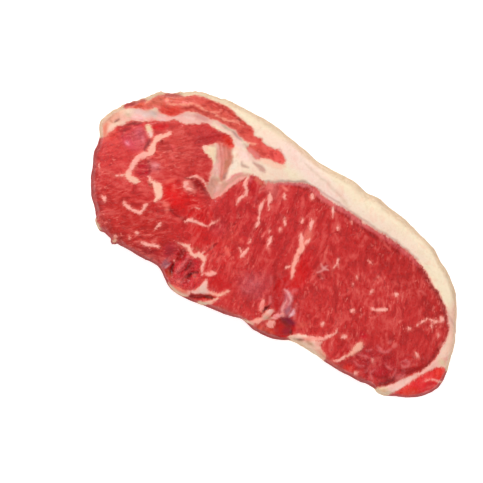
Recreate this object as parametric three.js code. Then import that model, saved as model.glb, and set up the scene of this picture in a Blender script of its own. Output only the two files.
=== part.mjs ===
// A raw sirloin steak: one slice across the loin, lying flat on its lower cut face.
// It holds the long eye muscle, a thin strip muscle above its left end, a small muscle on its
// lower right corner, and the fat cap that runs along the upper edge and round the right end.
// +X runs along the slice, +Y points to the fat cap, and +Z is up, off the surface it lies on.

import * as THREE from "three";

// Driving dimensions, in millimetres
const THICKNESS = 20;
const FAT_RIM_RADIUS = 4.6;
const MEAT_RIM_RADIUS = 3.4;
const BASE_RIM_RADIUS = 3.2;
const FAT_RIM_BETWEEN_Y = [-10, 20];

// Steps of the mesh along each long side and across each end
const LONG_STEPS = 96;
const END_STEPS = 30;
const AROUND_STEPS = 2 * (LONG_STEPS + END_STEPS);
const RELAX_PASSES = 160;

// The outline seen from above, anticlockwise from its upper right, in four stretches
const FAT_EDGE = [
  [82.7, 26.5], [75, 32.3], [67.5, 35.7], [61.5, 39.2], [52, 41], [42, 42.6], [34, 43],
  [28.5, 44.5], [22.5, 43], [15, 44.2], [6, 42.8], [-4, 42.1], [-16, 43.7], [-30, 45],
  [-44, 44.3], [-57, 41.8], [-71, 37.4], [-77, 32], [-84, 28],
];
const LEFT_END = [
  [-88.7, 20.6], [-94, 13.8], [-97.4, 8], [-99.3, 1.2], [-95.2, -5.2], [-92.8, -13],
  [-86.5, -25], [-78, -34.2],
];
const MEAT_EDGE = [
  [-71, -39.6], [-60, -41], [-47, -40], [-38.5, -39.2], [-34, -42.4], [-26, -45.1], [-16, -43.4],
  [-2, -40.4], [8.5, -38.2], [17, -38.9], [26, -36.6], [30.5, -33.4], [40, -32.7], [55, -32.6],
  [66, -31.4], [74, -30], [79, -31.4], [84.5, -27.8],
];
const RIGHT_END = [
  [90.2, -25.3], [96, -19.8], [99.3, -14.5], [99.5, -9.5], [97.3, -1], [93.8, 9.5], [88.9, 17.4],
];

// The line inside the outline that each ring of the rim is moved in towards
const SPINE_SHARE = 0.62;
const SPINE_Y = -1;

// The side wall from the base up: how far in from the outline, in rim radii, and how high, in
// shares of the thickness. The widest ring is a little under half way up.
const WIDEST_HEIGHT = 0.42;
const WALL = [
  { inset: 0.36, height: 0.045 },
  { inset: 0.06, height: 0.18 },
  { inset: 0, height: WIDEST_HEIGHT },
  { inset: 0.1, height: 0.68 },
  { inset: 0.32, height: 0.86 },
  { inset: 0.66, height: 0.96 },
];
const TOP_INSET = 1.15;

// Furrows in the cut face: a path, how wide each is at half depth, and how deep
const FURROWS = [
  // seam under the strip muscle
  { width: 4.4, depth: 1.3,
    path: [[-97, 5], [-86, 15], [-76, 19], [-66, 25], [-52, 30], [-42, 30], [-36, 26]] },
  // edge of the fat cap
  { width: 3.6, depth: 0.9,
    path: [[-28, 19], [-18, 21], [-8, 27.5], [1, 30.5], [20, 29.5], [44, 29.5], [60, 29.3],
      [71, 25], [81, 20], [88, 12], [89.5, 0], [88.5, -10]] },
  // seam of the corner muscle
  { width: 4, depth: 1.6,
    path: [[95, -3], [90, -11], [86, -20], [82.5, -27.5]] },
  // edge of the eye at the corner
  { width: 3.4, depth: 1.5,
    path: [[88, -11], [83, -20], [77, -27]] },
  // open pocket in the connective fat
  { width: 7, depth: 2.6,
    path: [[-43, 24], [-40, 15], [-38, 7], [-36, 3]] },
  // tear across the eye
  { width: 5.4, depth: 2.4,
    path: [[11, -13], [13.5, -20], [17, -26]] },
  // slit in the lower edge
  { width: 4.6, depth: 2.2,
    path: [[-20, -41.5], [-16, -39.5], [-11, -36.8]] },
  // left cut in the lower pocket
  { width: 4.6, depth: 1.7,
    path: [[-35, -29], [-33, -33], [-33, -38]] },
  // right cut in the lower pocket
  { width: 4.6, depth: 1.9,
    path: [[-24, -32], [-27, -37]] },
];

// Rounded rises and hollows: centre, the two half lengths, the turn of the longer, and the height
const SWELLS = [
  // strip muscle, left
  { at: [-74, 27], half: [18, 6], turn: 32, height: 1.2 },
  // strip muscle, right
  { at: [-38, 34], half: [24, 5], turn: -4, height: 1.1 },
  // fat cap, left
  { at: [-12, 38], half: [30, 8], turn: -3, height: 0.9 },
  // fat cap, middle
  { at: [32, 37], half: [30, 7], turn: 0, height: 1.3 },
  // fat cap, right
  { at: [78, 27], half: [22, 6], turn: -40, height: 1.1 },
  // right of the eye
  { at: [52, 3], half: [40, 24], turn: 0, height: 1.4 },
  // left of the eye
  { at: [-58, 8], half: [22, 16], turn: 10, height: 1.2 },
  // lobe below the strip
  { at: [-82, 2], half: [12, 10], turn: 60, height: 0.9 },
  // middle of the eye
  { at: [-12, -8], half: [20, 26], turn: 0, height: -0.9 },
  // lower pocket
  { at: [-29, -32], half: [9, 8], turn: 0, height: -2 },
  // hollow at the lower edge
  { at: [24, -30], half: [6.5, 5.5], turn: 0, height: -3.4 },
  // lip beside the hollow
  { at: [15, -29], half: [4.5, 6], turn: 70, height: 1.5 },
  // dimple beside the tear
  { at: [24.5, -1], half: [4.5, 3.5], turn: 0, height: -1.5 },
  // wrinkled corner of the eye
  { at: [66, -21], half: [18, 9], turn: 8, height: -1.2 },
  // corner muscle
  { at: [92, -15], half: [12, 6], turn: 60, height: 1.4 },
];

// Where the slice thins towards its rim: beyond a line across the slice it droops by this much
const DROOPS = [
  // left end
  { from: [-60, 0], towards: [-98, -2], drop: 3.6 },
  // lower edge
  { from: [-10, -16], towards: [-12, -44], drop: 2 },
  // corner muscle
  { from: [76, -8], towards: [96, -24], drop: 4.6 },
  // right end
  { from: [66, 6], towards: [97, 2], drop: 1.6 },
];

// Long soft waves over the whole cut face, in radians a millimetre along X and Y
const WAVES = [
  { along: [0.071, 0.043], height: 0.4, phase: 0.4 },
  { along: [-0.113, 0.097], height: 0.28, phase: 2.1 },
  { along: [0.041, 0.207], height: 0.16, phase: 4.6 },
  { along: [0.223, -0.037], height: 0.14, phase: 1.3 },
];

// How the rim's radius swells and thins on its way round, as a share of itself
const RIM_WAVE = { along: [0.12, 0.09], height: 0.22, phase: 0.9 };

const smoothStep = (t) => THREE.MathUtils.smoothstep(t, 0, 1);

function outlineCurve() {
  const points = [...FAT_EDGE, ...LEFT_END, ...MEAT_EDGE, ...RIGHT_END];
  const stops = points.map(([x, y]) => new THREE.Vector3(x, y, 0));
  return new THREE.CatmullRomCurve3(stops, true, "centripetal");
}

// Distance in the XY plane from a point to a chain of straight stretches
function distanceToPath(x, y, path) {
  let nearest = Infinity;
  for (let i = 1; i < path.length; i += 1) {
    const [ax, ay] = path[i - 1];
    const [bx, by] = path[i];
    const along = ((x - ax) * (bx - ax) + (y - ay) * (by - ay)) / ((bx - ax) ** 2 + (by - ay) ** 2);
    const t = THREE.MathUtils.clamp(along, 0, 1);
    nearest = Math.min(nearest, Math.hypot(x - ax - t * (bx - ax), y - ay - t * (by - ay)));
  }
  return nearest;
}

function furrowDepth(x, y, { path, width, depth }) {
  const offset = distanceToPath(x, y, path) / (width / 2);
  return depth * Math.exp(-Math.LN2 * offset ** 2);
}

function swellHeight(x, y, { at, half, turn, height }) {
  const angle = THREE.MathUtils.degToRad(turn);
  const dx = x - at[0];
  const dy = y - at[1];
  const u = (dx * Math.cos(angle) + dy * Math.sin(angle)) / half[0];
  const v = (-dx * Math.sin(angle) + dy * Math.cos(angle)) / half[1];
  return height * Math.exp(-Math.LN2 * (u ** 2 + v ** 2));
}

function droop(x, y, { from, towards, drop }) {
  const dx = towards[0] - from[0];
  const dy = towards[1] - from[1];
  const share = ((x - from[0]) * dx + (y - from[1]) * dy) / (dx ** 2 + dy ** 2);
  return drop * smoothStep(share);
}

function waveHeight(x, y, { along, height, phase }) {
  return height * Math.sin(along[0] * x + along[1] * y + phase);
}

const total = (list, read) => list.reduce((sum, item) => sum + read(item), 0);

// Height of the upper cut face over the surface that the steak lies on
function topHeight(x, y) {
  return THICKNESS
    + total(SWELLS, (s) => swellHeight(x, y, s))
    + total(WAVES, (w) => waveHeight(x, y, w))
    - total(FURROWS, (f) => furrowDepth(x, y, f))
    - total(DROOPS, (d) => droop(x, y, d));
}

// The rim is rounder where fat forms the edge, on the +Y side, and swells and thins on its way
function rimRadius({ x, y }) {
  const fatShare = THREE.MathUtils.smoothstep(y, ...FAT_RIM_BETWEEN_Y);
  const radius = THREE.MathUtils.lerp(MEAT_RIM_RADIUS, FAT_RIM_RADIUS, fatShare);
  return radius * (1 + waveHeight(x, y, RIM_WAVE));
}

// One ring of vertices: the outline moved in towards the spine, each at a height given by lift
function ringVertices(outline, inset, lift) {
  return outline.map((edge) => {
    const spine = new THREE.Vector3(edge.x * SPINE_SHARE, SPINE_Y, 0);
    const inward = spine.sub(edge).normalize();
    const point = edge.clone().addScaledVector(inward, inset(edge));
    point.z = lift(point);
    return point;
  });
}

function baseRing(outline) {
  return ringVertices(outline, () => BASE_RIM_RADIUS, () => 0);
}

function wallRings(outline) {
  return WALL.map(({ inset, height }) => ringVertices(
    outline,
    (edge) => inset * (height < WIDEST_HEIGHT ? BASE_RIM_RADIUS : rimRadius(edge)),
    (point) => height * topHeight(point.x, point.y),
  ));
}

function topRing(outline) {
  const inset = (edge) => TOP_INSET * rimRadius(edge);
  return ringVertices(outline, inset, (point) => topHeight(point.x, point.y));
}

// Places in a ring of the vertices on its four sides, counted from the lower left of the face
const lowerSide = (column) => LONG_STEPS + END_STEPS + column;
const upperSide = (column) => LONG_STEPS - column;
const leftSide = (row) => LONG_STEPS + END_STEPS - row;
const rightSide = (row) => (2 * LONG_STEPS + END_STEPS + row) % AROUND_STEPS;

// A point inside the ring, blended from the four sides
function blendedPoint(ring, column, row) {
  const u = column / LONG_STEPS;
  const v = row / END_STEPS;
  return new THREE.Vector3()
    .addScaledVector(ring[lowerSide(column)], 1 - v)
    .addScaledVector(ring[upperSide(column)], v)
    .addScaledVector(ring[leftSide(row)], 1 - u)
    .addScaledVector(ring[rightSide(row)], u)
    .addScaledVector(ring[lowerSide(0)], -(1 - u) * (1 - v))
    .addScaledVector(ring[lowerSide(LONG_STEPS)], -u * (1 - v))
    .addScaledVector(ring[upperSide(0)], -(1 - u) * v)
    .addScaledVector(ring[upperSide(LONG_STEPS)], -u * v);
}

// Moves each inner vertex to the middle of its four neighbours, so that no cell folds over
function relax(vertices, ringStart, innerStart) {
  const at = (column, row) => vertices[faceVertex(ringStart, innerStart, column, row)];
  for (let pass = 0; pass < RELAX_PASSES; pass += 1) {
    forEachInner((column, row) => {
      at(column, row).copy(at(column - 1, row)).add(at(column + 1, row))
        .add(at(column, row - 1)).add(at(column, row + 1)).divideScalar(4);
    });
  }
}

function forEachInner(visit) {
  for (let row = 1; row < END_STEPS; row += 1) {
    for (let column = 1; column < LONG_STEPS; column += 1) visit(column, row);
  }
}

// Adds the vertices inside the top ring, which starts at ringStart in the list
function addInnerVertices(vertices, ring, ringStart) {
  const innerStart = vertices.length;
  forEachInner((column, row) => vertices.push(blendedPoint(ring, column, row)));
  relax(vertices, ringStart, innerStart);
  vertices.slice(innerStart).forEach((point) => point.setZ(topHeight(point.x, point.y)));
  return innerStart;
}

// The number of the face's vertex at a column and row, on its ring or inside it
function faceVertex(ringStart, innerStart, column, row) {
  if (row === 0) return ringStart + lowerSide(column);
  if (row === END_STEPS) return ringStart + upperSide(column);
  if (column === 0) return ringStart + leftSide(row);
  if (column === LONG_STEPS) return ringStart + rightSide(row);
  return innerStart + (row - 1) * (LONG_STEPS - 1) + column - 1;
}

// The two triangles of a cell, split along its shorter diagonal
function cellFaces(vertices, a, b, c, d) {
  const splitFromA = vertices[a].distanceTo(vertices[c]) <= vertices[b].distanceTo(vertices[d]);
  return splitFromA ? [[a, b, c], [a, c, d]] : [[a, b, d], [b, c, d]];
}

function topFaces(vertices, ringStart, innerStart) {
  const faces = [];
  for (let row = 0; row < END_STEPS; row += 1) {
    for (let column = 0; column < LONG_STEPS; column += 1) {
      const a = faceVertex(ringStart, innerStart, column, row);
      const b = faceVertex(ringStart, innerStart, column + 1, row);
      const c = faceVertex(ringStart, innerStart, column + 1, row + 1);
      const d = faceVertex(ringStart, innerStart, column, row + 1);
      faces.push(...cellFaces(vertices, a, b, c, d));
    }
  }
  return faces;
}

// Two triangles for each step between one ring and the ring above it
function wallFaces(lowerStart, upperStart) {
  const faces = [];
  for (let i = 0; i < AROUND_STEPS; i += 1) {
    const next = (i + 1) % AROUND_STEPS;
    faces.push([lowerStart + i, lowerStart + next, upperStart + next]);
    faces.push([lowerStart + i, upperStart + next, upperStart + i]);
  }
  return faces;
}

function baseFaces(ring) {
  const loop = ring.map((point) => new THREE.Vector2(point.x, point.y));
  const triangles = THREE.ShapeUtils.triangulateShape(loop, []);
  return triangles.map(([a, b, c]) => [c, b, a]);
}

function steakGeometry() {
  const outline = outlineCurve().getSpacedPoints(AROUND_STEPS).slice(0, AROUND_STEPS);
  const rings = [baseRing(outline), ...wallRings(outline), topRing(outline)];
  const topStart = (rings.length - 1) * AROUND_STEPS;
  const vertices = rings.flat();
  const innerStart = addInnerVertices(vertices, rings.at(-1), topStart);
  const faces = [
    ...baseFaces(rings[0]),
    ...rings.slice(1).flatMap((_, i) => wallFaces(i * AROUND_STEPS, (i + 1) * AROUND_STEPS)),
    ...topFaces(vertices, topStart, innerStart),
  ];
  const geometry = new THREE.BufferGeometry();
  geometry.setFromPoints(vertices);
  geometry.setIndex(faces.flat());
  geometry.computeBoundingBox();
  const centre = geometry.boundingBox.getCenter(new THREE.Vector3());
  geometry.translate(-centre.x, -centre.y, 0);
  geometry.computeVertexNormals();
  return geometry;
}

const rawBeef = new THREE.MeshStandardMaterial({ color: 0xb8342f, roughness: 0.38, metalness: 0 });

const steak = new THREE.Mesh(steakGeometry(), rawBeef);
steak.name = "steak";

const group = new THREE.Group();
group.add(steak);

export default group;
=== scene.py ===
# A raw sirloin steak, seen from straight above: the fine surface and the looks of its one solid.
import itertools
import math

import bmesh
import bpy
import numpy as np
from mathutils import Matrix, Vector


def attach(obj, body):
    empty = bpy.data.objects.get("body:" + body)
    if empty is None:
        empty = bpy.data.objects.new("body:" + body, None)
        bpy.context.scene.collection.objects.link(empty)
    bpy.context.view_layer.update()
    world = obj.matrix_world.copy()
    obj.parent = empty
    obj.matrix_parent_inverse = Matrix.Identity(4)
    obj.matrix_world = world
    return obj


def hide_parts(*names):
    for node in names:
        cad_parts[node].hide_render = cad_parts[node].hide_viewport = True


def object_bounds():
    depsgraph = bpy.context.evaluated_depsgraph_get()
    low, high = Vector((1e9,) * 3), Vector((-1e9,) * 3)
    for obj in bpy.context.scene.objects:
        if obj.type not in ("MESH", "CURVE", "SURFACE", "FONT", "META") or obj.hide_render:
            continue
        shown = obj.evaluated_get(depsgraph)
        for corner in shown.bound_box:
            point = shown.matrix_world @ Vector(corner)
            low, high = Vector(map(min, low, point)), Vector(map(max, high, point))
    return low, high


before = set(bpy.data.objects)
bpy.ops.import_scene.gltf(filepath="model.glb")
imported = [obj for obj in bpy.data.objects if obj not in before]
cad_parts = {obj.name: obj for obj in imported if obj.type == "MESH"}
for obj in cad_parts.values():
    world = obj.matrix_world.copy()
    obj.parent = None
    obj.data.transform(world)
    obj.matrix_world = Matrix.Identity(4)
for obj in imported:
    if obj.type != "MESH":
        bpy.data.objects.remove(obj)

cad_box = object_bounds()

MM = 0.001

# Mesh resolution, in millimetres
VOXEL = 0.99
SMOOTHING_PASSES = 10
TOP_NORMAL_Z = 0.55

# Cells along each side of the cube of random values that the noise repeats
NOISE_CELLS = 48

# Thickness of the slice, for telling the cut face from the underside
TOP_HEIGHT = (cad_box[1][2] - cad_box[0][2]) / MM


def linear(colour):
    """An sRGB colour from 0 to 255 as linear light from 0 to 1."""
    share = np.array(colour, dtype=float) / 255
    return np.where(share <= 0.04045, share / 12.92, ((share + 0.055) / 1.055) ** 2.4)


def smooth_step(value, low, high):
    share = np.clip((value - low) / (high - low), 0, 1)
    return share * share * (3 - 2 * share)


# Shapes on the cut face, in millimetres, each giving the signed distance inside its edge

FAR_OUTSIDE = -99.0
REACH = 9.0
CURVE_STEPS = 4
END_WIDTH = 0.45
END_LENGTH = 1.8


def curve(points, closed):
    """The points joined by a smooth curve that runs through all of them."""
    stops = np.array(points, dtype=float)
    if closed:
        stops = np.vstack([stops[-1:], stops, stops[:2]])
    else:
        stops = np.vstack([2 * stops[:1] - stops[1:2], stops, 2 * stops[-1:] - stops[-2:-1]])
    pieces = []
    for before, start, end, after in zip(stops, stops[1:], stops[2:], stops[3:]):
        for t in np.arange(CURVE_STEPS) / CURVE_STEPS:
            pieces.append(0.5 * (2 * start + (end - before) * t
                                 + (2 * before - 5 * start + 4 * end - after) * t ** 2
                                 + (3 * start - before - 3 * end + after) * t ** 3))
    if not closed:
        pieces.append(stops[-2])
    return np.array(pieces)


def near(xy, low, high):
    return np.all((xy > low - REACH) & (xy < high + REACH), axis=1)


def segment_distance(xy, start, end):
    """Distance from each point to a straight stretch, and how far along it the nearest place is."""
    along = end - start
    share = np.clip((xy - start) @ along / max(along @ along, 1e-9), 0, 1)
    return np.linalg.norm(xy - start - share[:, None] * along, axis=1), share


def line(width, *points):
    """A stroke of that width, or of a width that runs from one number to another, finer at its ends."""
    path = curve(points, closed=False)
    run = np.concatenate([[0], np.cumsum(np.linalg.norm(np.diff(path, axis=0), axis=1))])
    taper = END_WIDTH + (1 - END_WIDTH) * smooth_step(np.minimum(run, run[-1] - run), 0, END_LENGTH)
    widths = taper * np.linspace(*(width if isinstance(width, tuple) else (width, width)), len(path))

    def inside(xy):
        value = np.full(len(xy), FAR_OUTSIDE)
        close = near(xy, path.min(axis=0), path.max(axis=0))
        spots = xy[close]
        best = value[close]
        for i in range(len(path) - 1):
            distance, share = segment_distance(spots, path[i], path[i + 1])
            half = 0.5 * (widths[i] + share * (widths[i + 1] - widths[i]))
            best = np.maximum(best, half - distance)
        value[close] = best
        return value
    return inside


def loop(*points):
    """The inside of a closed smooth curve."""
    path = curve(points, closed=True)

    def inside(xy):
        nearest = np.full(len(xy), -FAR_OUTSIDE)
        within = np.zeros(len(xy), dtype=bool)
        for start, end in zip(path, np.roll(path, -1, axis=0)):
            distance, _ = segment_distance(xy, start, end)
            nearest = np.minimum(nearest, distance)
            crosses = (start[1] > xy[:, 1]) != (end[1] > xy[:, 1])
            rise = end[1] - start[1] if end[1] != start[1] else 1.0
            at = start[0] + (xy[:, 1] - start[1]) * (end[0] - start[0]) / rise
            within ^= crosses & (xy[:, 0] < at)
        return np.where(within, nearest, -nearest)
    return inside


def spot(x, y, half_long, half_wide=None, turn=0):
    """An ellipse, turned by that many degrees."""
    half_wide = half_wide or half_long
    angle = math.radians(turn)

    def inside(xy):
        offset = xy - (x, y)
        u = (offset[:, 0] * math.cos(angle) + offset[:, 1] * math.sin(angle)) / half_long
        v = (offset[:, 1] * math.cos(angle) - offset[:, 0] * math.sin(angle)) / half_wide
        return (1 - np.hypot(u, v)) * min(half_long, half_wide)
    return inside


# The muscles. Outside the three of them the slice is fat and connective tissue.

EYE = loop(
    (-97, -7), (-93.3, -3), (-91.8, 0.5), (-90.6, 3.8), (-88.6, 6.6), (-87, 8.8), (-84.8, 10.4),
    (-82.4, 11.9), (-80, 13.4), (-77.5, 15.5), (-75, 17.3), (-72.5, 18.8), (-70.5, 20.8),
    (-67, 21.8), (-64, 23.2), (-61, 25.3), (-58.5, 27), (-55, 28.2), (-51, 27.9), (-47.5, 28.4),
    (-44.5, 28.4), (-42.2, 27.3), (-41.2, 25.8), (-42.3, 24.9), (-45, 24.7), (-47.5, 24.1),
    (-49.4, 22.3), (-50.6, 20.5), (-52.4, 19.2), (-52.9, 17.6), (-51.6, 16.6), (-49.4, 16.2),
    (-47.2, 15.6), (-45, 14.3), (-43.9, 12.2), (-43, 9.4), (-42.4, 6.6), (-41.6, 4.4),
    (-40, 3), (-38.5, 1.5), (-36.6, 0.6), (-35, 1.2), (-33.6, 3.2), (-32.6, 5.5),
    (-31.8, 8.5), (-31, 11.5), (-30.2, 14.5), (-29.2, 17), (-27.6, 19.2), (-25.8, 20),
    (-24.2, 20.1), (-22, 20), (-20.6, 20), (-19.3, 20.6), (-17.8, 21.8), (-15.4, 23.4),
    (-12.6, 25.2), (-10, 27), (-7.3, 28.8), (-4, 30.2), (0.6, 31), (5, 30.2), (11, 29.9),
    (16.4, 30.6), (24, 30.7), (28, 30.1), (34.5, 30.5), (42, 30.8), (50, 30.7), (57.5, 29.6),
    (63.3, 27.7), (67.2, 25.6), (75.2, 22.1), (79.5, 19.6), (82.5, 16.9), (85, 14.2),
    (87.2, 11.5), (88.4, 8.3), (88.8, 4.6), (89.4, 1), (89.5, -4), (88.8, -7), (88.3, -10),
    (87.4, -12.5), (85, -15.5), (83, -18), (81.3, -20.5), (79.5, -23.5), (77.6, -26), (75.2, -28.4),
    (73, -38), (50, -42), (20, -48), (-20, -54),
    (-60, -48), (-90, -36), (-104, -14),
)
STRIP = loop(
    (-93.6, 14), (-91, 17.3), (-88.8, 19.8), (-86.6, 21.4), (-85, 22.6), (-84, 25), (-82.4, 27.6),
    (-80, 29.7), (-77.5, 31.4), (-75.4, 32.2), (-73, 32.5), (-71.5, 33.8), (-69.5, 35.5),
    (-66, 36.9), (-61, 38), (-57, 38.8), (-53, 39), (-50, 38.9), (-47.8, 38.2), (-44, 38),
    (-39.5, 37.8), (-38, 36.8), (-36.8, 35.3), (-34.5, 35.4), (-32.6, 35.9), (-31.4, 34.8),
    (-28.5, 34.8), (-25.4, 35.2), (-22.8, 36.3), (-20, 35.3), (-18, 33.2), (-18.5, 31.6),
    (-21, 31), (-25, 30.6), (-27.5, 29.3), (-28.7, 27.7), (-30.8, 27.1), (-33.4, 27.6),
    (-35.6, 28.4), (-35.2, 29.8), (-36.5, 30.8), (-38.6, 31.3), (-41, 31.8), (-45, 32.6),
    (-49, 32.3), (-53.5, 31.4), (-57, 30.6), (-61, 30), (-65.5, 28.9), (-68.5, 27),
    (-70, 25), (-71.2, 22.5), (-73.5, 21.3), (-76.5, 20.6), (-79, 20.6), (-81.5, 21),
    (-83.5, 18.8), (-85.5, 17), (-87.7, 16), (-90.2, 14.9), (-92.6, 13.2),
)
CORNER = loop(
    (95.5, -4.2), (98, -4.8), (102, -5.5), (105, -13), (101, -25), (92, -32), (82, -31),
    (82.5, -27), (84.5, -23.5), (86, -20.5), (87, -18), (88, -15), (89, -12.2), (90.2, -10.3),
    (91.5, -8), (93.2, -5.4),
)

# Fat that runs through the muscles, each stroke with its width

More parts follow.
